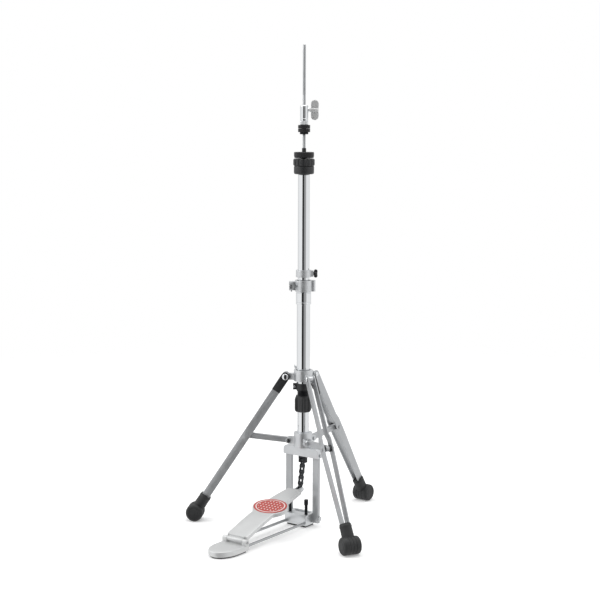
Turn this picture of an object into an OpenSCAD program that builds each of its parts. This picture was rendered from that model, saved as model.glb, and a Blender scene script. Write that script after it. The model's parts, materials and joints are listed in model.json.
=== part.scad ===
// Hi-hat stand with a folding tripod, chain pedal and clutch, without cymbals.
// Frame: origin on the floor under the tube axis, +Z up, the pedal points along -Y. Millimetres.

/* [Heights] */
// height of the top of the pull rod
rod_top = 1036; // [960:1:1100]
// height of the bottom of the clutch
clutch_z = 849; // [846:1:880]
// height of the bottom of the cymbal seat
seat_z = 765; // [740:1:766]
// height of the underside of the memory lock
memory_z = 545; // [540:1:600]
// height of the underside of the height clamp
clamp_z = 514; // [500:1:530]
// height of the bottom of the lower tube
tube_foot_z = 300; // [296:1:304]
// height of the underside of the tripod collar
collar_z = 319; // [316:1:324]
// height of the underside of the tension knob
knob_z = 251; // [248:1:256]
// height of the underside of the strut hub
hub_z = 173; // [168:1:178]

/* [Tubes and rods] */
// radius of the lower tube
lower_r = 14.3; // [13.5:0.1:16]
// radius of the upper tube and of the base tube
upper_r = 12.7; // [12:0.1:13]
// wall of the upper tube
upper_wall = 1.5; // [1:0.1:2]
// radius of the pull rod
rod_r = 3.175; // [3:0.025:3.5]
// length of the upper tube below the clamp
upper_below = 64; // [40:1:90]
// wall of the grip sleeve under the clamp
grip_wall = 2; // [1.6:0.1:4]
// height of the grip sleeve
grip_h = 28; // [20:1:36]

/* [Tripod] */
// radius from the axis to the leg's top pivot
leg_pivot_r = 38; // [36:0.5:42]
// height of the leg's top pivot
leg_pivot_z = 328; // [320:1:334]
// lean of the leg from the vertical, in degrees
leg_lean = 33.04; // [31:0.1:35]
// length from the top pivot to the foot
leg_len = 368.6; // [350:1:372]
// distance from the top pivot to the strut pivot, along the leg
leg_mid = 158; // [150:1:165]
// radius from the axis to the strut's inner pivot
strut_pivot_r = 31; // [30:0.5:34]
// height of the strut's inner pivot
strut_pivot_z = 187; // [182:1:192]
// thickness of one leg strip
strip_t = 2.75; // [2:0.25:3.5]
// width of one leg strip
strip_w = 18; // [12:0.5:19]
// half spacing of the two strips at the top
strip_top = 7; // [6.5:0.1:8]
// half spacing of the two strips at the strut
strip_mid = 10.3; // [9.5:0.1:11.5]
// half spacing of the two strips at the foot
strip_foot = 6.2; // [6:0.1:9]
// height of a strut bar
strut_w = 12; // [9:0.5:13]
// thickness of a strut bar
strut_t = 8; // [6:0.5:10]
// radius of the tripod's pivot pins
pivot_pin_r = 3; // [2.5:0.1:3.5]

/* [Feet] */
// length of a rubber foot
foot_len = 40; // [34:1:46]
// radius of the foot's socket
socket_r = 13; // [12:0.5:14]
// length of the foot's socket from the foot's centre
socket_len = 46; // [38:1:52]

/* [Frame] */
// distance from the axis to the middle of an upright
upright_x = 36; // [33:0.5:40]
// width of an upright
upright_w = 15; // [12:0.5:16]
// depth of an upright
upright_d = 7; // [6:0.5:9]
// height of the foot of an upright
upright_z = 8; // [6:0.5:12]
// height of the frame head
head_h = 20; // [16:1:22]
// depth of the frame head
head_d = 18; // [14:1:22]
// thickness of the base pad
pad_t = 5; // [3:0.5:6]
// thickness of the base plate
plate_t = 23; // [18:1:25]
// distance from the axis to the front edge of the base plate
plate_front = 28; // [26:1:34]
// distance from the axis to the back edge of the base plate
plate_back = 10; // [8:1:16]

/* [Pedal] */
// distance from the axis to the heel hinge
hinge_y = 235; // [225:1:245]
// height of the heel hinge
hinge_z = 22; // [21:0.5:24]
// overall width of the heel hinge
hinge_w = 63; // [56:1:70]
// width of the heel plate
heel_w = 64; // [64:1:96]
// length of the heel plate behind the hinge
heel_l = 74; // [70:1:95]
// height of the top of the heel plate
heel_top = 15; // [14:0.5:16]
// half width of the footboard at its widest
board_wide = 42; // [40:0.5:52]
// half width of the footboard at the toe
board_toe = 13; // [12:0.5:25]
// half width of the footboard at the heel
board_heel = 26; // [24:0.5:32]
// height of the footboard's flange
board_flange = 8; // [6:0.5:9]
// skin of the footboard
board_skin = 3; // [2.5:0.25:3.5]
// pitch of the chain
chain_pitch = 12.7; // [12.5:0.1:12.9]
// distance from the axis to the chain's lower pin
toe_y = 10.5; // [9:0.5:12]
// height of the chain's lower pin
toe_z = 79.9; // [79:0.1:81]

/* [Cymbal seat and clutch] */
// radius of the seat felt
felt_r = 21.5; // [19:0.5:24]
// thickness of the seat felt
felt_t = 10.5; // [8:0.5:12]
// radius of the seat sleeve
sleeve_r = 4.5; // [4.3:0.1:5]
// radius of the clutch body
clutch_r = 8.7; // [8:0.1:10]
// height of the clutch body
clutch_h = 33; // [28:1:38]
// radius of the clutch felts
clutch_felt_r = 13; // [11:0.5:15]
// height of the clutch wings
wing_h = 43; // [36:1:46]

/* [Fits] */
// running clearance of pins and sliding tubes
run = 0.05; // [0.02:0.01:0.08]
// gap between faces that move past each other
gap = 0.4; // [0.35:0.05:0.5]

/* [Hidden] */
$fn = 64;
leg_az = [210, 330, 90];
view_az = 36;
eps = 0.01;
// tripod
foot_r = leg_pivot_z - leg_len * cos(leg_lean);
foot_edge = 6;
mid_r = leg_pivot_r + leg_mid * sin(leg_lean);
mid_z = leg_pivot_z - leg_mid * cos(leg_lean);
strut_len = sqrt(pow(mid_r - strut_pivot_r, 2) + pow(mid_z - strut_pivot_z, 2));
strut_rise = atan2(mid_z - strut_pivot_z, mid_r - strut_pivot_r);
strip_end = leg_len - 22;
joggle_half = 20;
joggle_run = 12;
strip_out = strip_top + strip_t / 2;
cover_t = 2.6;
cover_l = 38;
pin_head_r = 7;
pin_head_t = 3.4;
pin_tail_r = 5.5;
pin_tail_t = 2.6;
ear_r = 7;
collar_h = 24;
bush_wall = 1.7;
bush_r = lower_r + bush_wall;
collar_wall = 4.5;
collar_r = bush_r + collar_wall;
boss_r = 6;
collar_screw_az = 150;
screw_r = 3;
// hub and base tube
hub_h = 32;
hub_r = 20;
hub_floor = 4;
hub_ear_t = 4;
hub_ear_in = strut_t / 2 + gap;
hub_ear_r = 6.5;
tube_wall = 2;
neck_z = knob_z + 4;
neck_top = tube_foot_z + 25;
flange_t = 3;
slot_z = neck_z + 7;
slot_h = 13;
slot_w = 4.8;
thread_pitch = 2.6;
thread_depth = 0.6;
knob_h = 36;
knob_r = 16;
knob_lobes = 6;
knob_lobe_r = 4.2;
knob_cavity_r = 14.8;
cup_pin_z = slot_z + slot_h / 2;
cup_pin_r = 2;
cup_low = 4.5;
cup_high = 6.5;
cup_r = upper_r - tube_wall - gap;
// frame
head_top = hub_z;
head_z = hub_z - head_h;
upright_top = head_z + 11;
head_wall = 3;
head_half = upright_x + upright_w / 2 + head_wall;
head_round = 9;
plate_half = upright_x - upright_w / 2;
plate_top = pad_t + plate_t;
bolt_r = 3;
bolt_head_r = 5.2;
bolt_head_t = 3;
bolt_low_z = 18;
bolt_high_z = head_z + 5.5;
guide_r = 6;
spur_x = 21.5;
spur_y = 17;
spur_r = 3.5;
spur_head_r = 4.6;
spur_top = 61;
spur_tip = 1;
wire_r = 3;
wire_x = 24;
wire_z = 10.5;
wire_in = 5;
// lower tube, ring, clamp
ring_h = 13;
ring_wall = 1.7;
ring_r = lower_r + ring_wall;
lug_w = 8;
lug_out = ring_r + 6;
lug_screw_x = (lug_out + ring_r) / 2 - 0.2;
clamp_h = 24;
clamp_bush_wall = 2.3;
clamp_bush_r = upper_r + clamp_bush_wall;
clamp_wall = 3.5;
clamp_r = clamp_bush_r + clamp_wall;
grip_r = lower_r + grip_wall;
clamp_slot = 3;
clamp_lug = 8;
clamp_bolt_x = 26;
clamp_bolt_r = 2.5;
clamp_lug_out = 31;
clamp_lug_h = 18;
knuckle_r = 5;
knuckle_x = 20.5;
wing_half = 11.5;
wing_t = 3;
memory_h = 15;
memory_r = 16.5;
memory_boss = 21;
// seat
cup_floor = 3;
cup_h = 17;
ring_gap = gap;
tilt_h = 15.2;
tilt_ribs = 24;
tilt_rib_r = 1;
plate_gap = 1.4;
plate_t2 = 2;
seat_hole_r = 6;
sleeve_top = seat_z + 55;
sleeve_bore = rod_r + 5 * run;
tilt_z = seat_z + cup_h + ring_gap;
seat_plate_z = tilt_z + tilt_h + plate_gap;
felt_z = seat_plate_z + plate_t2;
// clutch
nut_t = 4.5;
nut_r = 9;
clutch_felt_t = 7.3;
clutch_felt_gap = 0.4;
clutch_bolt_r = 5;
top_nut_t = 8.5;
clutch_body_z = clutch_z + nut_t + 2 * clutch_felt_t + clutch_felt_gap + top_nut_t;
clutch_screw_z = clutch_body_z + 23;
wing_in = 14;
wing_out = 31;
// pull rod and chain
joint_z = 484;
coupling_r = 6;
coupling_h = 40;
spring_z0 = cup_pin_z + cup_high;
spring_wire = 1.2;
spring_mean = 7.6;
spring_turns = 13;
spring_seat_z = 345;
spring_seat_r = 10;
spring_seat_t = 5;
mark_z = clutch_body_z + clutch_h + 20;
mark_h = 2;
mark_d = 0.25;
chain_links = 5;
chain_l = chain_links * chain_pitch;
chain_top_z = toe_z + sqrt(chain_l * chain_l - toe_y * toe_y);
chain_lean = asin(toe_y / chain_l);
link_in = 2.4;
link_t = 1.1;
link_r = 5;
link_waist = 7;
roller_r = 3.9;
chain_pin_r = 1.8;
toe_play = 1.1;
connector_w = 17;
connector_d = 10;
connector_top = head_z - gap;
connector_low = chain_top_z - 5;
connector_roof = chain_top_z + link_r + gap;
chain_slot = link_in + link_t + gap;
// pedal
heel_pad_t = 3;
heel_straight = 27;
knuckle_pedal_r = 5;
hinge_pin_r = 2.5;
board_knuckle = 19.5;
board_y0 = hinge_y - 4;
board_y1 = 30;
board_z0 = 30;
board_z1 = 84.5;
board_sag = 5.3;
board_chord = sqrt(pow(board_y0 - board_y1, 2) + pow(board_z1 - board_z0, 2));
board_slope = atan2(board_z1 - board_z0, board_y0 - board_y1);
board_R = board_chord * board_chord / (8 * board_sag) + board_sag / 2;
board_cy = -(board_y0 + board_y1) / 2 + (board_R - board_sag) * sin(board_slope);
board_cz = (board_z0 + board_z1) / 2 - (board_R - board_sag) * cos(board_slope);
board_rim = 3;
board_wide_y = 117;
board_wide_l = 30;
board_taper_y = 150;
board_steps = 44;
clevis_w = 3;
clevis_back = 66;

// ---- helpers ----
module tube(r, bore, z0, z1) {
    translate([0, 0, z0]) difference() {
        cylinder(r = r, h = z1 - z0);
        translate([0, 0, -1]) cylinder(r = bore, h = z1 - z0 + 2);
    }
}
module box(x0, x1, y0, y1, z0, z1) {
    translate([x0, y0, z0]) cube([x1 - x0, y1 - y0, z1 - z0]);
}
// rod along X, from x0 to x1
module rod_x(r, x0, x1) {
    translate([x0, 0, 0]) rotate([0, 90, 0]) cylinder(r = r, h = x1 - x0);
}
// rod along Y, from y0 to y1
module rod_y(r, y0, y1) {
    translate([0, y0, 0]) rotate([-90, 0, 0]) cylinder(r = r, h = y1 - y0);
}
// leg space: X runs from the top pivot down the leg, Y is tangential
module leg_space(i) {
    rotate([0, 0, leg_az[i]]) translate([leg_pivot_r, 0, leg_pivot_z])
        rotate([0, 90 - leg_lean, 0]) children();
}
// strut space: X runs from the inner pivot out along the strut, Y is tangential
module strut_space(i) {
    rotate([0, 0, leg_az[i]]) translate([strut_pivot_r, 0, strut_pivot_z])
        rotate([0, -strut_rise, 0]) children();
}
module view_space() {
    rotate([0, 0, view_az]) children();
}

// ---- frame on the floor ----
module base_pad() {
    color("#242424") difference() {
        box(-plate_half, plate_half, -plate_front, plate_back, 0, pad_t);
        for (s = [-1, 1]) translate([s * spur_x, -spur_y, -1])
            cylinder(r = spur_r + 1, h = pad_t + 2);
    }
}
module base_plate() {
    color("#a4a5a6") difference() {
        box(-plate_half, plate_half, -plate_front, plate_back, pad_t, plate_top);
        box(-plate_half + 8, plate_half - 8, -plate_front + 22, plate_back - 5,
            pad_t + 12, plate_top + 1);
        for (s = [-1, 1]) {
            translate([s * spur_x, -spur_y, 0]) cylinder(r = spur_r + run, h = plate_top + 5);
            translate([s * wire_x, 0, wire_z]) rod_y(wire_r, -plate_front - 1,
                -plate_front + wire_in);
            translate([0, 0, bolt_low_z]) mirror([s > 0 ? 0 : 1, 0, 0])
                rod_x(bolt_r, plate_half - 7, plate_half + 1);
        }
    }
}
module uprights() {
    color("#a9abad") for (s = [0, 1]) mirror([s, 0, 0]) difference() {
        box(plate_half, plate_half + upright_w, -upright_d / 2, upright_d / 2,
            upright_z, upright_top);
        translate([0, 0, bolt_low_z]) rod_x(bolt_r, 0, head_half);
        translate([0, 0, bolt_high_z]) rod_x(bolt_r, upright_x, head_half);
    }
}
module frame_head() {
    color("#a9abad") difference() {
        union() {
            box(-head_half, head_half, -head_d / 2, head_d / 2, head_z, head_top - head_round);
            box(-head_half + head_round, head_half - head_round, -head_d / 2, head_d / 2,
                head_z, head_top);
            for (s = [-1, 1]) translate([s * (head_half - head_round), 0, head_top - head_round])
                rod_y(head_round, -head_d / 2, head_d / 2);
        }
        for (s = [0, 1]) mirror([s, 0, 0]) {
            box(plate_half, plate_half + upright_w, -upright_d / 2, upright_d / 2,
                head_z - 1, upright_top);
            translate([0, 0, bolt_high_z]) rod_x(bolt_r, upright_x, head_half + 1);
        }
        translate([0, 0, head_z - 1]) cylinder(r = guide_r, h = head_h + 2);
    }
}
module frame_bolts() {
    color("#c9ccce") {
        for (s = [0, 1]) mirror([s, 0, 0]) {
            translate([0, 0, bolt_low_z]) {
                rod_x(bolt_r, plate_half - 7, plate_half + upright_w);
                rod_x(bolt_head_r, plate_half + upright_w, plate_half + upright_w + bolt_head_t);
            }
            translate([0, 0, bolt_high_z]) {
                rod_x(bolt_r, upright_x, head_half);
                rod_x(bolt_head_r - 1, head_half, head_half + bolt_head_t - 1);
            }
        }
        // hub locking screw
        rotate([0, 0, view_az - 60]) translate([0, 0, hub_z + 18])
            rod_x(bolt_r, upper_r, hub_r + 5);
        // ring screw
        rotate([0, 0, view_az + 180]) translate([lug_screw_x, 0,
            tube_foot_z + ring_h / 2]) {
            rod_y(bolt_r - 1, -lug_w / 2, lug_w / 2);
            rod_y(bolt_r, -lug_w / 2 - 2.5, -lug_w / 2);
        }
        // clamp bolt
        view_space() translate([-clamp_bolt_x, 0, clamp_z + clamp_h / 2]) {
            rod_y(clamp_bolt_r, -clamp_lug - 11, clamp_lug);
            rod_y(clamp_bolt_r + 2.2, clamp_lug, clamp_lug + 3.5);
        }
        // heel hinge pin
        translate([0, -hinge_y, hinge_z]) rod_x(hinge_pin_r, -hinge_w / 2, hinge_w / 2);
    }
}
module guide_bushings() {
    color("#2a2a2a") {
        tube(guide_r, rod_r + run, head_z, hub_z);
        tube(clamp_bush_r, upper_r + run, clamp_z, clamp_z + clamp_h);
    }
}

// ---- hub, base tube and neck ----
module strut_hub() {
    color("#b4b6b8") difference() {
        union() {
            translate([0, 0, hub_z]) cylinder(r = hub_r, h = hub_h);
            for (a = leg_az) rotate([0, 0, a]) {
                for (s = [0, 1]) mirror([0, s, 0]) {
                    box(hub_r - 4, strut_pivot_r, hub_ear_in, hub_ear_in + hub_ear_t,
                        strut_pivot_z - hub_ear_r, strut_pivot_z + hub_ear_r);
                    translate([strut_pivot_r, 0, strut_pivot_z])
                        rod_y(hub_ear_r, hub_ear_in, hub_ear_in + hub_ear_t);
                }
            }
        }
        translate([0, 0, hub_z + hub_floor]) cylinder(r = upper_r, h = hub_h);
        translate([0, 0, hub_z - 1]) cylinder(r = guide_r, h = hub_h);
        for (a = leg_az) rotate([0, 0, a]) translate([strut_pivot_r, 0, strut_pivot_z])
            rod_y(pivot_pin_r, -hub_r, hub_r);
        rotate([0, 0, view_az - 60]) translate([0, 0, hub_z + 18])
            rod_x(bolt_r, upper_r, hub_r + 1);
    }
}
module hub_pins() {
    ear_out = hub_ear_in + hub_ear_t;
    color("#c9ccce") for (a = leg_az) rotate([0, 0, a])
        translate([strut_pivot_r, 0, strut_pivot_z]) {
            rod_y(pivot_pin_r, -ear_out, ear_out);
            rod_y(pivot_pin_r + 2, ear_out, ear_out + 2);
            rod_y(pivot_pin_r + 2, -ear_out - 2, -ear_out);
        }
}
module base_tube() {
    color("#e6e8ea") tube(upper_r, upper_r - tube_wall, hub_z + hub_floor, neck_z);
}
module threaded_neck() {
    color("#2b2b2b") difference() {
        union() {
            tube(upper_r, upper_r - tube_wall, neck_z, neck_top);
            tube(lower_r, upper_r - tube_wall, tube_foot_z - flange_t, tube_foot_z);
        }
        for (i = [0 : 2]) tube(upper_r + 1, upper_r - thread_depth,
            knob_z + knob_h + 1.2 + i * thread_pitch, knob_z + knob_h + 2.4 + i * thread_pitch);
        box(-hub_r, hub_r, -slot_w / 2, slot_w / 2, slot_z, slot_z + slot_h);
    }
}
module tension_knob() {
    color("#262626") translate([0, 0, knob_z]) difference() {
        union() {
            cylinder(r = knob_r, h = knob_h);
            for (i = [0 : knob_lobes - 1]) rotate([0, 0, i * 360 / knob_lobes])
                translate([knob_r - 0.5, 0, 3]) cylinder(r = knob_lobe_r, h = knob_h - 8);
        }
        translate([0, 0, -1]) cylinder(r = upper_r + 2 * run, h = knob_h + 2);
        translate([0, 0, 6]) cylinder(r = knob_cavity_r, h = knob_h - 10);
    }
}
module spring_cup() {
    color("#b9bbbd") translate([0, 0, cup_pin_z]) difference() {
        union() {
            translate([0, 0, -cup_low]) cylinder(r = cup_r, h = cup_low + cup_high);
            rod_x(cup_pin_r, -knob_cavity_r + gap, knob_cavity_r - gap);
        }
        translate([0, 0, -hub_r]) cylinder(r = rod_r + 1, h = 2 * hub_r);
    }
}
module pull_spring() {
    lift = (spring_seat_z - spring_z0 - 2 * spring_wire) / (spring_turns - 1);
    color("#8d9092") rotate_extrude() {
        for (i = [0 : spring_turns - 1])
            translate([spring_mean, spring_z0 + spring_wire + i * lift]) circle(r = spring_wire, $fn = 24);
        translate([spring_mean - 0.3, spring_z0 + spring_wire])
            square([0.6, spring_seat_z - spring_z0 - 2 * spring_wire]);
    }
}

// ---- lower tube and clamp ----
module lower_tube() {
    color("#e6e8ea") tube(lower_r, upper_r + run, tube_foot_z, clamp_z);
}
module lock_ring() {
    color("#262626") difference() {
        union() {
            tube(ring_r, lower_r, tube_foot_z, tube_foot_z + ring_h);
            rotate([0, 0, view_az + 180]) box(ring_r - 1, lug_out, -lug_w / 2, lug_w / 2,
                tube_foot_z, tube_foot_z + ring_h);
        }
        rotate([0, 0, view_az + 180]) translate([lug_screw_x, 0,
            tube_foot_z + ring_h / 2]) rod_y(bolt_r - 1, -lug_w, lug_w);
    }
}
module clamp_sleeve() {
    color("#d9dbdd") tube(grip_r, lower_r, clamp_z - grip_h, clamp_z);
}
module tube_clamp() {
    z1 = clamp_z + clamp_h;
    mid = clamp_z + clamp_h / 2;
    color("#c4c6c8") view_space() difference() {
        union() {
            tube(clamp_r, clamp_bush_r, clamp_z, z1);
            box(-clamp_lug_out, -clamp_bush_r - 1, -clamp_lug, clamp_lug,
                mid - clamp_lug_h / 2, mid + clamp_lug_h / 2);
            translate([knuckle_x, 0, clamp_z]) cylinder(r = knuckle_r, h = clamp_h);
        }
        box(-clamp_lug_out - 1, -clamp_bush_r + 2, -clamp_slot / 2, clamp_slot / 2,
            clamp_z - 1, z1 + 1);
        translate([0, 0, clamp_z - 1]) cylinder(r = clamp_bush_r, h = clamp_h + 2);
        translate([-clamp_bolt_x, 0, mid]) rod_y(clamp_bolt_r, -clamp_lug - 1, clamp_lug + 1);
    }
}
// wing nut or wing screw: hub along X from x0 to x1, wings across Z
module wing(x0, x1, bore, hub, half, thick) {
    tip = half / 3;
    difference() {
        union() {
            rod_x(hub, x0, x1);
            for (s = [-1, 1]) {
                box(x0 + 3, x1 - 1, -thick / 2, thick / 2, s > 0 ? 0 : -half + tip,
                    s > 0 ? half - tip : 0);
                translate([(x0 + x1) / 2 + 1, 0, s * (half - tip)]) rod_y(tip, -thick / 2, thick / 2);
            }
        }
        if (bore > 0) rod_x(bore, x0 - 1, x1 + 1);
    }
}
module clamp_wing() {
    color("#d6d8da") view_space() translate([-clamp_bolt_x, -clamp_lug - gap,
        clamp_z + clamp_h / 2]) rotate([0, 0, -90])
        wing(0, 10, clamp_bolt_r + run, clamp_bolt_r + 2.5, wing_half, wing_t);
}
module memory_lock() {
    color("#cfd1d3") difference() {
        union() {
            tube(memory_r, upper_r + run, memory_z, memory_z + memory_h);
            view_space() box(upper_r + 1, memory_boss, -5, 5, memory_z + 1, memory_z + memory_h - 1);
        }
        translate([0, 0, memory_z]) cylinder(r = upper_r + run, h = memory_h);
        view_space() translate([0, 0, memory_z + memory_h / 2])
            rod_x(bolt_r + run, upper_r, memory_boss + 1);
    }
}
module memory_key() {
    color("#242424") view_space() translate([0, 0, memory_z + memory_h / 2]) {
        rod_x(bolt_r, upper_r + 2 * run + gap, memory_boss + 2);
        wing(memory_boss + gap, memory_boss + 9, 0, 4.2, 9, 4);
    }
}

// ---- tripod ----
module collar_body() {
    ear_half = strip_top - strip_t / 2 - gap;
    color("#b7b9bb") difference() {
        union() {
            translate([0, 0, collar_z]) cylinder(r = collar_r, h = collar_h);
            for (a = leg_az) rotate([0, 0, a]) {
                box(bush_r + 1, leg_pivot_r, -ear_half, ear_half, leg_pivot_z - ear_r,
                    leg_pivot_z + ear_r);
                translate([leg_pivot_r, 0, leg_pivot_z]) rod_y(ear_r, -ear_half, ear_half);
            }
            rotate([0, 0, collar_screw_az]) translate([0, 0, collar_z + 16])
                rod_x(boss_r, bush_r + 1, collar_r + 5);
        }
        translate([0, 0, collar_z - 1]) cylinder(r = bush_r, h = collar_h + 2);
        for (a = leg_az) rotate([0, 0, a]) translate([leg_pivot_r, 0, leg_pivot_z])
            rod_y(pivot_pin_r, -hub_r, hub_r);
        rotate([0, 0, collar_screw_az]) translate([0, 0, collar_z + 16])
            rod_x(screw_r + run, bush_r - 1, collar_r + 6);
    }
}
module collar_bushing() {
    color("#2a2a2a") tube(bush_r, lower_r + run, collar_z, collar_z + collar_h);
}
module collar_pins() {
    high = strip_out + cover_t + gap;
    low = strip_out + gap;
    color("#e2e4e6") for (i = [0 : 2]) leg_space(i) {
        rod_y(pivot_pin_r, -low, high);
        rod_y(pin_head_r, high, high + pin_head_t);
        rod_y(pin_tail_r, -low - pin_tail_t, -low);
    }
}
module collar_screw() {
    color("#c9ccce") rotate([0, 0, collar_screw_az]) translate([0, 0, collar_z + 16]) {
        rod_x(screw_r, bush_r + gap, collar_r + 8);
        rotate([-25, 0, 0]) wing(collar_r + 5 + gap, collar_r + 18, 0, 4.5, 15, wing_t);
    }
}
// plan outline of one strip: centre-line offsets along the leg
function strip_line() = [[-strip_w / 2 - 1, strip_top], [leg_mid - joggle_half - joggle_run, strip_top],
    [leg_mid - joggle_half, strip_mid], [leg_mid + joggle_half, strip_mid],
    [leg_len - socket_len, strip_foot], [strip_end, strip_foot]];
module strip_plan() {
    p = strip_line();
    n = len(p);
    polygon(concat([for (i = [0 : n - 1]) [p[i][0], p[i][1] + strip_t / 2]],
        [for (i = [0 : n - 1]) [p[n - 1 - i][0], p[n - 1 - i][1] - strip_t / 2]]));
}
module leg_strips(i) {
    rivet_r = 5.5;
    rivet_t = 2.5;
    color("#a7a9ab") leg_space(i) for (s = [0, 1]) mirror([0, s, 0]) {
        difference() {
            intersection() {
                translate([0, 0, -strip_w / 2]) linear_extrude(strip_w) strip_plan();
                union() {
                    rod_y(strip_w / 2, 0, hub_r);
                    box(0, leg_len, 0, hub_r, -strip_w / 2, strip_w / 2);
                }
            }
            rod_y(pivot_pin_r + run, 0, hub_r);
        }
        translate([leg_mid, 0, 0])
            rod_y(rivet_r, strip_mid + strip_t / 2 - eps, strip_mid + strip_t / 2 + rivet_t);
    }
}
module leg_cover(i) {
    color("#1f1f1f") leg_space(i) difference() {
        union() {
            rod_y(strip_w / 2 + 0.6, strip_out, strip_out + cover_t);
            box(0, cover_l, strip_out, strip_out + cover_t, -strip_w / 2 - 0.6, strip_w / 2 + 0.6);
        }
        rod_y(pivot_pin_r + run, 0, hub_r);
    }
}
module leg_foot(i) {
    half = foot_len / 2;
    color("#202020") leg_space(i) difference() {
        union() {
            translate([leg_len, 0, 0]) rotate([-90, 0, 0]) rotate_extrude() {
                translate([0, -half]) square([foot_r - foot_edge, foot_len]);
                translate([0, -half + foot_edge]) square([foot_r, foot_len - 2 * foot_edge]);
                for (s = [-1, 1]) translate([foot_r - foot_edge, s * (half - foot_edge)])
                    circle(r = foot_edge);
            }
            rod_x(socket_r, leg_len - socket_len, leg_len);
        }
        for (s = [0, 1]) mirror([0, s, 0])
            box(leg_len - socket_len - 1, strip_end, strip_foot - strip_t / 2,
                strip_foot + strip_t / 2, -strip_w / 2, strip_w / 2);
    }
}
module strut_bar(i) {
    color("#aeb0b2") strut_space(i) difference() {
        union() {
            box(0, strut_len, -strut_t / 2, strut_t / 2, -strut_w / 2, strut_w / 2);
            for (x = [0, strut_len]) translate([x, 0, 0])
                rod_y(strut_w / 2, -strut_t / 2, strut_t / 2);
        }
        rod_y(pivot_pin_r + run, -strut_t, strut_t);
        translate([strut_len, 0, 0]) rod_y(pivot_pin_r, -strut_t, strut_t);
    }
}
module strut_bushing(i) {
    reach = strip_mid - strip_t / 2 - gap;
    color("#1d1d1d") strut_space(i) translate([strut_len, 0, 0]) {
        rod_y(pivot_pin_r, -strut_t / 2, strut_t / 2);
        for (s = [0, 1]) mirror([0, s, 0]) rod_y(strut_w / 2 + 1, strut_t / 2, reach);
    }
}

// ---- upper tube and cymbal seat ----
module upper_tube() {
    color("#eceeef") tube(upper_r, upper_r - upper_wall, clamp_z - upper_below,
        seat_z + cup_h - cup_floor);
}
module seat_cup() {
    color("#1f1f1f") difference() {
        union() {
            translate([0, 0, seat_z]) cylinder(r = felt_r, h = cup_h);
            translate([0, 0, seat_z + cup_h]) cylinder(r = sleeve_r, h = sleeve_top - seat_z - cup_h);
        }
        translate([0, 0, seat_z - 1]) cylinder(r = upper_r, h = cup_h - cup_floor + 1);
        translate([0, 0, seat_z]) cylinder(r = sleeve_bore, h = 2 * (sleeve_top - seat_z));
    }
}
module tilt_ring() {
    color("#232323") translate([0, 0, tilt_z]) difference() {
        union() {
            cylinder(r = felt_r + 0.6, h = tilt_h);
            for (i = [0 : tilt_ribs - 1]) rotate([0, 0, i * 360 / tilt_ribs])
                translate([felt_r + 0.6, 0, 2]) cylinder(r = tilt_rib_r, h = tilt_h - 4, $fn = 24);
        }
        translate([0, 0, -1]) cylinder(r = seat_hole_r, h = tilt_h + 2);
    }
}
module seat_plate() {
    color("#8f9294") tube(felt_r - 1, seat_hole_r, seat_plate_z, felt_z);
}
module seat_felt() {
    color("#161616") tube(felt_r, seat_hole_r - 0.2, felt_z, felt_z + felt_t);
}

// ---- pull rod and clutch ----
module upper_rod() {
    color("#e3e5e7") difference() {
        union() {
            translate([0, 0, joint_z]) cylinder(r = rod_r, h = rod_top - joint_z - 1);
            translate([0, 0, rod_top - 1]) cylinder(r1 = rod_r, r2 = rod_r - 1, h = 1);
        }
        tube(rod_r + 1, rod_r - mark_d, mark_z, mark_z + mark_h);
    }
}
module lower_rod() {
    color("#c4c6c8") translate([0, 0, connector_roof])
        cylinder(r = rod_r, h = joint_z - connector_roof);
}
module rod_collars() {
    color("#b0b2b4") {
        difference() {
            translate([0, 0, joint_z - coupling_h / 2])
                cylinder(r = coupling_r, h = coupling_h, $fn = 6);
            translate([0, 0, joint_z - coupling_h]) cylinder(r = rod_r, h = 2 * coupling_h);
        }
        tube(spring_seat_r, rod_r, spring_seat_z, spring_seat_z + spring_seat_t);
    }
}
module clutch_body() {
    color("#e6e8ea") difference() {
        union() {
            tube(clutch_r, rod_r + run, clutch_body_z, clutch_body_z + clutch_h);
            view_space() translate([0, 0, clutch_screw_z]) rod_x(5, rod_r + 1, clutch_r + 2);
        }
        translate([0, 0, clutch_body_z - 1]) cylinder(r = rod_r + run, h = clutch_h + 2);
        view_space() translate([0, 0, clutch_screw_z])
            rod_x(screw_r + run, rod_r, clutch_r + 3);
    }
}
module clutch_bolt() {
    color("#1f1f1f") {
        tube(clutch_bolt_r, rod_r + run, clutch_z, clutch_body_z);
        tube(nut_r, clutch_bolt_r, clutch_z, clutch_z + nut_t);
        tube(nut_r, clutch_bolt_r, clutch_body_z - top_nut_t, clutch_body_z);
    }
}
module clutch_felts() {
    z0 = clutch_z + nut_t;
    color("#191919") {
        tube(clutch_felt_r, clutch_bolt_r, z0, z0 + clutch_felt_t);
        tube(clutch_felt_r, clutch_bolt_r, z0 + clutch_felt_t + clutch_felt_gap,
            z0 + 2 * clutch_felt_t + clutch_felt_gap);
    }
}
module clutch_screw() {
    color("#cfd1d3") view_space() translate([0, 0, clutch_screw_z]) {
        rod_x(screw_r, rod_r + run + gap, wing_in + 2);
        wing(wing_in - 2, wing_out, 0, 4.5, wing_h / 2, 3.5);
    }
}

// ---- chain and pedal ----
module chain_connector() {
    half = connector_w / 2;
    deep = connector_d / 2;
    color("#242424") difference() {
        box(-half, half, -deep, deep, connector_low, connector_top);
        box(-chain_slot, chain_slot, -deep - 1, deep + 1, connector_low - 1, connector_roof);
        cylinder(r = rod_r, h = connector_top + 1);
    }
    color("#9a9c9e") translate([0, 0, chain_top_z]) {
        rod_x(chain_pin_r, -chain_slot, chain_slot);
    }
}
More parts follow.
